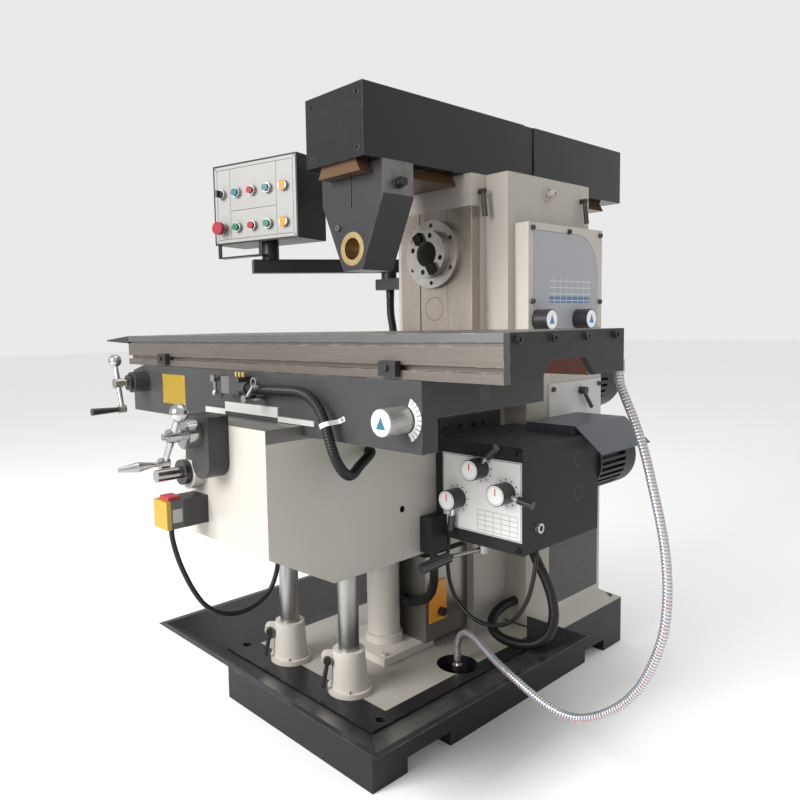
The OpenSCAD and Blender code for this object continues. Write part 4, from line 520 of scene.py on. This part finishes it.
box_paint, at = new_finish("feed_box_enamel")
x, y, z = axes(at)
soil = mottle(at, 6.0, 5.0)
face = within(y, box_face, box_face_back)
white_panel = face & in_panel(x, z, white_edges)
frame_line = white_panel & in_panel(x, z, white_edges, frame_outer)
frame_line = frame_line & (1.0 - in_panel(x, z, white_edges, frame_inner))
column_lines = (x - table_edges[0]) % table_column < table_line
row_lines = (z - table_edges[2]) % table_row < table_line
table_lines = face & in_panel(x, z, table_edges) & (column_lines | row_lines)
ticks = []
for _, knob_x, knob_z in box_knobs:
    tick_ring = within(from_axis(x - knob_x, z - knob_z), tick_inner, tick_outer)
    ticks.append(tick_ring & (bearing(z - knob_z, x - knob_x) % tick_step < tick_width))
ticks = face & (ticks[0] | ticks[1] | ticks[2])
junction_box = (x < junction_right) & (y < junction_face)
screws = (y < screw_seat) & (x > screws_left) & (1.0 - junction_box)
sight = x > sight_seat
sight_glass = sight & (from_axis(y - sight_y, z - sight_z) < sight_radius)
high_plug, low_plug = (abs(from_axis(y - plug_y, z - plug_z) - plug_radius) < plug_line
                       for plug_z in (plug_high, plug_low))
side_plugs = (high_plug | low_plug) & within(x, box_right, sight_seat)
colour = layered(box_charcoal, (soil, box_soiled), (white_panel, panel_white), (frame_line, line_grey),
                 (table_lines, line_grey), (ticks, tick_black), (screws, screw_black),
                 (side_plugs, plug_grey), (sight, sight_chrome), (sight_glass, glass_dark))
dress(box_paint, worn(at, colour, box_rubbed, roughness=0.38)
      | {"Metallic": sight, "Specular IOR Level": 0.08}, "feed_box")

# Crank housing: a small cast gear case bolted to the knee's front, which carries the cross crank. It
# has the feed box's charcoal enamel.
flat_finish("charcoal_enamel", (0.020, 0.020, 0.021), 0.38, 12.0, 0.25, "crank_housing")

# Interlock switch: a moulded switch, screwed to the knee's front below the crank housing. Its grey
# body on a black back has a yellow front, a pale side plate and a red head.
body_back, switch_front, head_low, front_top = -0.848, -0.8795, 0.6302, 0.6305
side_plate_x, side_plate_edges = -0.0655, (-0.876, -0.852, 0.581, 0.611)
back_black, body_grey, side_pale = (0.022, 0.022, 0.023), (0.05, 0.058, 0.058), (0.30, 0.30, 0.285)
front_yellow, head_red = (0.34, 0.205, 0.012), (0.36, 0.022, 0.03)
switch_finish, at = new_finish("interlock_finish")
x, y, z = axes(at)
side_plate = (x > side_plate_x) & in_panel(y, z, side_plate_edges)
colour = layered(back_black, (y < body_back, body_grey), (side_plate, side_pale),
                 ((y < switch_front) & (z < front_top), front_yellow), (z > head_low, head_red))
dress(switch_finish, {"Base Color": colour, "Roughness": 0.45}, "safety_switch")

# Splash guard: folded steel sheet screwed on over the feed motor, which keeps coolant off it. It is
# sprayed with grey-blue enamel.
flat_finish("splash_enamel", (0.060, 0.064, 0.077), 0.40, 9.0, 0.18, "splash_guard")

# Saddle: an iron casting on the knee's ways with a long apron in front, in dark grey enamel. A plain
# brass plate is riveted to the apron, and a white scale curves round the right of the feed knob.
apron_face, apron_face_back = -0.6843, -0.6837
brass_edges, brass_border = (-0.449, -0.326, 0.806, 0.888), 0.0018
brass_x, brass_z, rivet_x, rivet_z, rivet_radius = -0.3875, 0.847, 0.0555, 0.035, 0.0024
saddle_knob_x, saddle_knob_z = 0.452, 0.836
scale_inner, scale_outer, scale_half_turn, scale_tick_inner = 0.0275, 0.043, 1.15, 0.033
scale_step, scale_tick = 0.23, 0.05
saddle_grey, saddle_soiled, saddle_rubbed = (0.032, 0.032, 0.032), (0.046, 0.046, 0.046), (0.18, 0.18, 0.175)
brass, brass_edge, rivet_steel = (0.235, 0.155, 0.016), (0.10, 0.07, 0.02), (0.26, 0.26, 0.25)
scale_white, scale_black = (0.56, 0.56, 0.545), (0.1, 0.1, 0.1)
saddle_paint, at = new_finish("saddle_enamel")
x, y, z = axes(at)
soil = mottle(at, 7.0, 5.0)
face = within(y, apron_face, apron_face_back)
brass_plate = face & in_panel(x, z, brass_edges)
border = brass_plate & (1.0 - in_panel(x, z, brass_edges, brass_border))
rivets = from_axis(abs(x - brass_x) - rivet_x, abs(z - brass_z) - rivet_z) < rivet_radius
from_knob = from_axis(x - saddle_knob_x, z - saddle_knob_z)
knob_turn = bearing(z - saddle_knob_z, x - saddle_knob_x)
scale = face & within(from_knob, scale_inner, scale_outer) & (abs(knob_turn) < scale_half_turn)
scale_ticks = scale & (from_knob > scale_tick_inner) & (knob_turn % scale_step < scale_tick)
colour = layered(saddle_grey, (soil, saddle_soiled), (brass_plate, brass), (border, brass_edge),
                 (brass_plate & rivets, rivet_steel), (scale, scale_white), (scale_ticks, scale_black))
dress(saddle_paint, worn(at, colour, saddle_rubbed, roughness=0.36) | {"Specular IOR Level": 0.22}, "saddle")

# Saddle fittings: a black limit switch with three brass plungers and the conduit's connector, and a
# grey block beside it. They are screwed to the apron, and so are the pale wipers of the knee's ways.
box_left, box_end, fittings_low, plungers_low = -0.0622, 0.01, 0.845, 0.8962
wiper_pale, box_black = (0.46, 0.455, 0.435), (0.03, 0.03, 0.032)
block_grey, plunger_brass = (0.12, 0.12, 0.117), (0.34, 0.25, 0.09)
fitting_metal, at = new_finish("saddle_fitting_finish")
x, _, z = axes(at)
switch_box = within(x, box_left, box_end) & (z > fittings_low)
switch_block = (x < box_left) & (z > fittings_low)
colour = layered(wiper_pale, (switch_box, box_black), (switch_block, block_grey),
                 (z > plungers_low, plunger_brass))
dress(fitting_metal, {"Base Color": colour, "Metallic": 0.35 - switch_box * 0.35, "Roughness": 0.36},
      "saddle_fittings")

# Table: a long iron slab with T-slots that slides in the saddle's dovetail, ground warm grey on its
# top and front. The lip along its front edge is darker, and the channel under it is red primer.
lip_low, lip_back = 0.9748, -0.6805
channel_top, channel_front, channel_rear = 0.9435, -0.599, -0.419
slot_low, slot_top, slots_front, slots_rear = 0.960, 0.9905, -0.62, -0.38
table_dark, table_light, table_rubbed = (0.092, 0.079, 0.068), (0.148, 0.129, 0.112), (0.42, 0.40, 0.37)
lip_grey, primer_red, slot_grey = (0.10, 0.10, 0.10), (0.08, 0.027, 0.017), (0.16, 0.15, 0.14)
table_iron, at = new_finish("table_iron")
_, y, z = axes(at)
grinding = brushed(at, (6.0, 300.0, 300.0), 4.0)
soil = mottle(at, 8.0, 6.0)
primer = (z < channel_top) & within(y, channel_front, channel_rear)
slots = within(z, slot_low, slot_top) & within(y, slots_front, slots_rear)
colour = layered(table_dark, (grinding, table_light), ((z > lip_low) & (y < lip_back), lip_grey),
                 (primer, primer_red), (slots, slot_grey))
dress(table_iron, worn(at, colour, table_rubbed, roughness=soil * 0.15 + 0.30)
      | {"Metallic": 0.55 - primer * 0.55}, "table")

# Table fittings: a dark arched plate screwed to the table's right end, a drip lip on its left end and
# black trip dogs bolted in its front slot. The drain spout at the right end is bare steel.
spout_front, spout_top, spout_left = -0.3155, 0.935, 0.6
end_screw_face, end_screws_low = 0.6772, 0.935
end_plate_black, end_plate_rubbed, spout_steel = (0.024, 0.024, 0.024), (0.15, 0.15, 0.148), (0.5, 0.49, 0.47)
plate_paint, at = new_finish("end_plate_enamel")
x, y, z = axes(at)
spout = (y > spout_front) & (z < spout_top) & (x > spout_left)
screws = (x > end_screw_face) & (z > end_screws_low)
colour = layered(end_plate_black, (spout, spout_steel), (screws, screw_black))
dress(plate_paint, worn(at, colour, end_plate_rubbed, roughness=0.40)
      | {"Metallic": spout, "Specular IOR Level": 0.22}, "table_fittings")

# Table crank and lift shaft: chromed steel, the crank in the saddle's boss on the left and the
# square-ended shaft in the knee's front. The crank's grip and both dials are black plastic.
crank_right, grip_end, grip_top = -0.4, -0.7795, 0.82
crank_dial_front, crank_dial_back, lift_dial_front, lift_dial_back = -0.742, -0.7285, -0.8285, -0.8115
crank_chrome, grip_black = (0.42, 0.415, 0.41), (0.02, 0.02, 0.022)
crank_finish, at = new_finish("crank_finish")
x, y, z = axes(at)
grip = (y < grip_end) & (z < grip_top) & (x < crank_right)
crank_dial = within(y, crank_dial_front, crank_dial_back) & (x < crank_right)
lift_dial = within(y, lift_dial_front, lift_dial_back) & (x > crank_right)
plastic = grip | crank_dial | lift_dial
dress(crank_finish, {"Base Color": layered(crank_chrome, (plastic, grip_black)), "Metallic": 1.0 - plastic,
                     "Roughness": 0.22}, "table_crank", "lift_shaft")

# Speed knobs: two moulded black knobs on shafts through the column's side cover. Each has a white
# disc set in its face with a blue arrow head on it.
disc_seat, arrow_low, arrow_tip, arrow_slope = 0.2853, 0.999, 1.024, 0.5
knob_black, disc_white, arrow_blue = (0.02, 0.02, 0.022), (0.78, 0.78, 0.77), (0.05, 0.17, 0.42)
for name, knob_y in (("speed_knob_front", 0.072), ("speed_knob_rear", 0.275)):
    speed_knob, at = new_finish(name + "_finish")
    x, y, z = axes(at)
    disc = x > disc_seat
    arrow = disc & within(z, arrow_low, arrow_tip) & (abs(y - knob_y) < (arrow_tip - z) * arrow_slope)
    colour = layered(knob_black, (disc, disc_white), (arrow, arrow_blue))
    dress(speed_knob, {"Base Color": colour, "Roughness": 0.40}, name)

# Saddle knob: the feed knob on the apron's right, turned from steel with a knurled rim. Its white
# face has a teal arrow head.
disc_seat, arrow_low, arrow_tip = -0.7422, 0.824, 0.848
knurl_step, knurl_width = 0.12, 0.05
rim_steel, knurl_dark = (0.50, 0.49, 0.47), (0.20, 0.20, 0.19)
face_white, arrow_teal = (0.58, 0.58, 0.57), (0.010, 0.09, 0.15)
saddle_knob, at = new_finish("saddle_knob_finish")
x, y, z = axes(at)
disc = y < disc_seat
arrow = disc & within(z, arrow_low, arrow_tip) & (abs(x - saddle_knob_x) < (arrow_tip - z) * arrow_slope)
knurl = bearing(z - saddle_knob_z, x - saddle_knob_x) % knurl_step < knurl_width
colour = layered(rim_steel, (knurl & (1.0 - disc), knurl_dark), (disc, face_white), (arrow, arrow_teal))
dress(saddle_knob, {"Base Color": colour, "Metallic": 0.7 - disc * 0.7, "Roughness": 0.40}, "saddle_knob")

# Feed box knobs: three moulded black knobs on the box's shafts, each with a lever on a steel neck.
# Their white faces have a thin ring and a red pointer.
disc_seat, ring_inner, ring_outer, neck_inner, neck_outer = -0.3042, 0.0195, 0.0205, 0.0255, 0.0432
pointer_half, pointer_length = 0.0016, 0.017
dial_white, ring_grey = (0.76, 0.76, 0.74), (0.2, 0.2, 0.2)
pointer_red, neck_steel = (0.6, 0.03, 0.03), (0.58, 0.57, 0.56)
for name, knob_x, knob_z in box_knobs:
    box_knob, at = new_finish(name + "_finish")
    x, y, z = axes(at)
    from_knob = from_axis(x - knob_x, z - knob_z)
    disc = y < disc_seat
    pointer = disc & (abs(x - knob_x) < pointer_half) & within(z, knob_z, knob_z + pointer_length)
    ring = disc & within(from_knob, ring_inner, ring_outer)
    neck = within(from_knob, neck_inner, neck_outer)
    colour = layered(knob_black, (disc, dial_white), (ring, ring_grey), (pointer, pointer_red),
                     (neck, neck_steel))
    dress(box_knob, {"Base Color": colour, "Metallic": neck, "Roughness": 0.35}, name)

# Feed lever: a steel hub and bent rod on a pin under the feed box, chromed. The black plastic grip
# is pushed on beyond the rod's bend.
grip_start = -0.3245
lever_chrome = (0.26, 0.26, 0.26)
lever_finish, at = new_finish("feed_lever_finish")
grip = axes(at)[1] < grip_start
dress(lever_finish, {"Base Color": layered(lever_chrome, (grip, grip_black)), "Metallic": 1.0 - grip,
                     "Roughness": 0.25}, "feed_lever")

# Black levers: the clamps of the over-arm and the posts, the panel's lever and the pendant's
# selector. They are moulded black plastic on steel pins.
flat_finish("black_plastic", grip_black, 0.40, 120.0, 0.25, "overarm_lever_front", "overarm_lever_rear",
            "panel_lever", "post_lever_left", "post_lever_right", "selector_switch")

# Pendant box: a folded black sheet box that swivels on the pendant's arm. Its front is a pale panel
# with thin lines, held by four screws, with chromed bezels and two amber lamps in the last column.
pendant_x, pendant_y, pendant_turn = -0.43189, -0.31416, math.radians(15.5)
pendant_face, pendant_face_back, lamp_face = -0.0714, -0.0706, -0.0826
panel_edges, outer_line_gap, inner_line_gap = (-0.151, 0.151, 1.264, 1.489), 0.0085, 0.0105
panel_middle, bezels_low, cross_line_z, cross_line_half = 1.3765, 1.262, 1.356, 0.001
left_line, right_line, upright_half, upright_reach = -0.091, 0.082, 0.0008, 0.102
lamps_left, lamps_right = 0.100, 0.1215
corner_x, corner_z, corner_radius = 0.1465, 0.108, 0.003
pendant_black, pendant_pale, pendant_rubbed = (0.010, 0.010, 0.011), (0.265, 0.259, 0.25), (0.07, 0.07, 0.07)
line_dark, corner_dark = (0.07, 0.07, 0.07), (0.1, 0.1, 0.1)
bezel_chrome, lamp_amber = (0.36, 0.36, 0.355), (0.40, 0.18, 0.014)
pendant_finish, at = new_finish("pendant_finish")
x, y, z = axes(at)
across = (x - pendant_x) * math.cos(pendant_turn) + (y - pendant_y) * math.sin(pendant_turn)
depth = (y - pendant_y) * math.cos(pendant_turn) - (x - pendant_x) * math.sin(pendant_turn)
face = within(depth, pendant_face, pendant_face_back) & in_panel(across, z, panel_edges)
outer_line = in_panel(across, z, panel_edges, outer_line_gap)
outer_line = outer_line & (1.0 - in_panel(across, z, panel_edges, inner_line_gap))
cross_line = (abs(z - cross_line_z) < cross_line_half) & within(across, left_line, right_line)
uprights = (abs(across - left_line) < upright_half) | (abs(across - right_line) < upright_half)
uprights = uprights & (abs(z - panel_middle) < upright_reach)
lines = face & (outer_line | cross_line | uprights)
corners = from_axis(abs(across) - corner_x, abs(z - panel_middle) - corner_z) < corner_radius
bezels = (depth < pendant_face) & (z > bezels_low)
lamps = bezels & (depth < lamp_face) & within(across, lamps_left, lamps_right)
colour = layered(pendant_black, (face, pendant_pale), (lines, line_dark), (face & corners, corner_dark),
                 (bezels, bezel_chrome), (lamps, lamp_amber))
dress(pendant_finish, worn(at, colour, pendant_rubbed, roughness=0.32)
      | {"Metallic": bezels & (1.0 - lamps), "Specular IOR Level": 0.22}, "pendant_box")

# Push buttons and emergency stop: glossy moulded caps that slide in the pendant's bezels, in red,
# blue and green plastic.
button_roughness, button_grain, button_spread = 0.25, 50.0, 0.10
for name, tint, buttons in (
        ("red_plastic", (0.23, 0.008, 0.018), ("estop_button", "red_button_top", "red_button_low")),
        ("blue_plastic", (0.02, 0.11, 0.13), ("blue_button_left", "blue_button_right")),
        ("green_plastic", (0.006, 0.11, 0.045), ("green_button_left", "green_button_right"))):
    flat_finish(name, tint, button_roughness, button_grain, button_spread, *buttons)

# Coolant hose: clear plastic hose moulded round a wire spiral, with a blue and a red tracer, pushed
# on the base's nipple and on the table's spout. It is made in three lengths that meet, because it
# hangs past the knee and the saddle; each length spans one joint and is laid in place.
mm = 0.001
rings_per_pitch = 5


def curve_points(stops, first, last):
    """Points of the smooth curve through the stops, from the first of a stretch to its last."""
    steps = 24
    line = []
    for i in range(first, last):
        a, b, c, d = (stops[min(max(i + k, 0), len(stops) - 1)] for k in (-1, 0, 1, 2))
        for j in range(steps):
            t = j / steps
            line.append((2 * b + (c - a) * t + (2 * a - 5 * b + 4 * c - d) * t ** 2
                         + (3 * b - a - 3 * c + d) * t ** 3) / 2)
    return line + [stops[last]]


def even_path(line, spacing):
    """The line cut into equal steps near the spacing, and its length."""
    fewest_steps, shortest = 8, 1e-9
    reach = [0.0]
    for a, b in zip(line, line[1:]):
        reach.append(reach[-1] + (b - a).length)
    count = max(fewest_steps, round(reach[-1] / spacing))
    path, k = [], 0
    for i in range(count + 1):
        s = reach[-1] * i / count
        while k < len(line) - 2 and reach[k + 1] < s:
            k += 1
        share = (s - reach[k]) / max(reach[k + 1] - reach[k], shortest)
        path.append(line[k].lerp(line[k + 1], share))
    return path, reach[-1]


def lay_cord(name, node, finishes, route, diameter, bodies, bend=(), stretch=None, side=None,
             sides=16, pitch=0.0060, rib_depth=0.12, rib_turns=0):
    """Lays a cord along a stretch of its route; returns it and the side where its last ring starts.

    It rides on the first of its bodies; given a bend, it is laid in place and rides on none. Its
    ribs have a pitch, a depth as a share of the radius, and turns round the cord for each pitch.
    """
    stops = [Vector(stop) * mm for stop in route]
    first, last = stretch or (0, len(stops) - 1)
    path, length = even_path(curve_points(stops, first, last), pitch / rings_per_pitch)
    count = len(path) - 1
    verts, faces = [], []
    for i, centre in enumerate(path):
        heading = (path[min(i + 1, count)] - path[max(i - 1, 0)]).normalized()
        if side is None:
            side = Vector((1, 0, 0)) if abs(heading.z) > 0.9 else Vector((0, 0, 1))
        side = (side - heading * side.dot(heading)).normalized()
        other = heading.cross(side)
        s = length * i / count
        plain = (s < diameter and first == 0) or (s > length - diameter and last == len(stops) - 1)
        for k in range(sides):
            angle = 2 * math.pi * k / sides
            wave = math.cos(2 * math.pi * s / pitch + rib_turns * angle)
            radius = diameter / 2 * (1 if plain else 1 + rib_depth * (wave - 1) / 2)
            verts.append(centre + radius * (math.cos(angle) * side + math.sin(angle) * other))
        if i:
            ring = (i - 1) * sides
            faces += [(ring + k, ring + (k + 1) % sides, ring + (k + 1) % sides + sides, ring + k + sides)
                      for k in range(sides)]
    faces.append(tuple(reversed(range(sides))))
    faces.append(tuple(range(count * sides, (count + 1) * sides)))
    cord = make_piece(name, verts, faces, *finishes)
    for polygon in cord.data.polygons:
        polygon.use_smooth = len(polygon.vertices) == 4
    if bend:
        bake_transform(cord)
    else:
        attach(cord, bodies[0])
    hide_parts(node)
    return cord, side


hose_diameter, hose_sides, hose_pitch, hose_rib_depth = 0.0180, 24, 0.0065, 0.10
tracer_sides = {15: 1, 17: 2}
wire_number, wire_lead, wire_share = 3, 0.2, 0.4
hose_route = (
    (209, -236, 150.3), (209, -236, 168), (211, -237, 195), (224, -240, 222), (250, -248, 238),
    (285, -260, 238), (325, -276, 230), (365, -292, 222), (405, -308, 218), (440, -319, 213),
    (480, -326, 203), (525, -331, 193), (570, -333, 190), (612, -334, 201), (655, -334, 228),
    (695, -333, 266), (728, -332, 315), (752, -331, 372), (768, -330, 435), (770, -324, 500),
    (763, -317, 565), (750, -311, 625), (731, -304, 690), (712, -298, 752), (688, -292, 812),
    (667, -288, 856), (655, -285, 882), (652, -285, 903.4))
hose_finishes = (flat_finish("hose_wire_spiral", (0.30, 0.305, 0.31), 0.28, 60.0, 0.20, metallic=0.45),
                 flat_finish("blue_tracer", (0.02, 0.10, 0.22), 0.35, 60.0, 0.20),
                 flat_finish("red_tracer", (0.32, 0.05, 0.05), 0.35, 60.0, 0.20),
                 flat_finish("hose_wire", (0.62, 0.63, 0.64), 0.22, 60.0, 0.12, metallic=0.85))
# Each length has its bodies, its first and last stop, and the stops where its bend starts and ends.
hose_lengths = (("hose_low", ("frame", "knee"), (0, 14), (10, 14)),
                ("hose_middle", ("knee", "saddle"), (14, 18), (14, 18)),
                ("hose_top", ("saddle", "table"), (18, 27), (18, 26)))
side = None
for name, bodies, stretch, bend_stops in hose_lengths:
    bend = [hose_route[stop] for stop in bend_stops]
    hose, side = lay_cord(name, "coolant_hose", hose_finishes, hose_route, hose_diameter,
                          bodies, bend, stretch, side, hose_sides, hose_pitch, hose_rib_depth, rib_turns=1)
    for polygon in hose.data.polygons[:-2]:
        ring, k = divmod(polygon.index, hose_sides)
        turn = (ring + 0.5) / rings_per_pitch + (k + 0.5) / hose_sides
        on_wire = (turn + wire_lead) % 1 < wire_share
        polygon.material_index = wire_number if on_wire else tracer_sides.get(k, 0)

# Saddle conduit: black corrugated plastic conduit from the limit switch's connector to the knee's
# right side. On the machine it bends as the saddle moves across the knee; here it is laid in place.
conduit_black = flat_finish("conduit_black", (0.009, 0.009, 0.010), 0.38, 90.0, 0.30, specular=0.25)
saddle_route = (
    (5, -712, 872), (40, -712, 872), (90, -712, 873), (140, -712, 874), (185, -712, 874),
    (222, -712, 864), (250, -712, 842), (268, -712, 812), (280, -711, 778), (286, -703, 745),
    (282, -682, 718), (267, -652, 702), (246, -618, 698), (224, -582, 704), (206, -545, 712),
    (193, -520, 717), (183, -505, 720), (176, -500, 720), (166.6, -500, 720))
lay_cord("saddle_tube", "saddle_conduit", [conduit_black], saddle_route, 0.0220,
         ("saddle", "knee"), bend=((230, -705, 745), (230, -506, 745)))

# Pendant conduit: black corrugated plastic conduit from the bracket of the pendant's arm down to the
# column's left side. Both ends are on the column, so it doesn't bend.
pendant_route = (
    (-280, 45, 1116), (-280, 45, 1090), (-281, 46, 1062), (-283, 50, 1034), (-283, 56, 1006),
    (-278, 57, 980), (-264, 61, 958), (-242, 64, 944), (-220, 65, 940), (-198.3, 65, 940))
lay_cord("pendant_tube", "pendant_conduit", [conduit_black], pendant_route, 0.0260,
         ("frame",))

# Knee cables: plain black rubber cables, one from the interlock switch to the knee's underside and
# one in a loop under the feed box. They hang slack; on the machine they lie on the tray when the knee
# is low, and here they are laid in place.
interlock_route = (
    (-95, -864, 567), (-95, -864, 545), (-95, -859, 518), (-95, -848, 480), (-95, -832, 440),
    (-95, -812, 400), (-94, -786, 362), (-92, -752, 336), (-89, -712, 322), (-86, -672, 322),
    (-82, -634, 335), (-79, -606, 360), (-77, -590, 395), (-76, -585, 420), (-76, -584, 436))
lay_cord("interlock_cable", "knee_cables", [conduit_black], interlock_route, 0.0120,
         ("frame", "knee"), bend=((-90, -690, 150), (-90, -690, 450)), rib_depth=0.0)
feed_route = (
    (186, -240, 475), (186, -240, 455), (184, -240, 425), (184, -240, 385), (192, -240, 345),
    (212, -240, 310), (244, -240, 285), (285, -240, 274), (328, -239, 279), (366, -237, 298),
    (394, -233, 330), (412, -228, 368), (420, -222, 408), (421, -214, 440), (420, -208, 460),
    (420, -206, 475))
lay_cord("feed_cable", "knee_cables", [conduit_black], feed_route, 0.0100,
         ("frame", "knee"), bend=((300, -240, 150), (300, -240, 450)), rib_depth=0.0)

# Feed conduits: black plastic conduits, a corrugated one from the column's foot up to the feed box and
# a plain one from the box down to the way guard. On the machine both bend as the knee is raised and
# lowered; here they are laid in place.
elbow_route = (
    (160, 84.7, 205), (160, 55, 205), (162, 20, 204), (170, -20, 200), (186, -58, 195),
    (212, -90, 189), (248, -112, 187), (290, -122, 189), (332, -125, 196), (372, -125, 214),
    (402, -125, 246), (415, -125, 290), (410, -125, 338), (392, -125, 382), (370, -125, 418),
    (356, -125, 448), (352, -125, 471.8))
lay_cord("elbow_tube", "feed_conduits", [conduit_black], elbow_route, 0.0260,
         ("frame", "knee"), bend=((352, -125, 196), (352, -125, 475)))
back_route = (
    (182, -292, 443.5), (182, -292, 418), (180, -289, 385), (172, -283, 350), (154, -275, 318),
    (126, -268, 294), (94, -263, 279), (68, -260, 271), (51, -257, 268), (42, -252, 267),
    (40, -246, 267), (40, -239.6, 267))
lay_cord("back_tube", "feed_conduits", [conduit_black], back_route, 0.0220,
         ("knee", "frame"), bend=((182, -292, 443), (40, -240, 267)), rib_depth=0.0)

# Conduit clip: a white nylon strap round the saddle conduit. Its leg runs back to the apron and ends
# in a foot that a small domed screw holds.
nylon = flat_finish("white_nylon", (0.66, 0.66, 0.64), 0.42, 40.0, 0.12)
strap_at = Vector((0.268, -0.712, 0.812))
along = Vector((0.424, 0.014, -0.905)).normalized()
inward = (Vector((0, 1, 0)) - along * along.y).normalized()
outward = along.cross(inward)
strap_radius, strap_half_thick, strap_half_wide, strap_turn, strap_step = 0.0118, 0.0006, 0.0048, 330, 15
foot_depth, foot_end, foot_start, leg_bend, leg_top = 0.0272, 0.0300, 0.0160, (0.0128, 0.0032), 0.008
strap_line = [(foot_end, foot_depth), (foot_start, foot_depth), (leg_bend[0], foot_depth - leg_bend[1]),
              (strap_radius, leg_top)]
strap_line += [(strap_radius * math.cos(math.radians(a)), strap_radius * math.sin(math.radians(a)))
               for a in range(0, -strap_turn - 1, -strap_step)]
verts, faces = [], []
for i, (a, d) in enumerate(strap_line):
    before, after = strap_line[max(i - 1, 0)], strap_line[min(i + 1, len(strap_line) - 1)]
    run = Vector((after[0] - before[0], after[1] - before[1])).normalized()
    for thick, wide in ((-1, -1), (1, -1), (1, 1), (-1, 1)):
        off_a, off_d = a - run.y * thick * strap_half_thick, d + run.x * thick * strap_half_thick
        verts.append(strap_at + outward * off_a + inward * off_d + along * wide * strap_half_wide)
    if i:
        faces += [(4 * i - 4 + k, 4 * i - 4 + (k + 1) % 4, 4 * i + (k + 1) % 4, 4 * i + k) for k in range(4)]
faces += [(3, 2, 1, 0), tuple(4 * len(strap_line) - 4 + k for k in range(4))]
strap_faces = len(faces)
screw_radius, screw_height, screw_out = 0.0038, 0.0024, 0.0232
screw_at = strap_at + outward * screw_out + inward * (foot_depth - strap_half_thick)
screw_profile = [(screw_radius * wide, screw_height * high)
                 for wide, high in ((1.0, 0.0), (1.0, 0.4), (0.8, 0.85), (0.35, 1.0))]
add_turned(verts, faces, screw_profile, screw_at, axis=-inward, across=outward, sides=16)
clip = make_piece("conduit_clip", verts, faces, nylon, chrome)
for polygon in clip.data.polygons:
    polygon.material_index = int(polygon.index >= strap_faces)
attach(clip, "saddle")
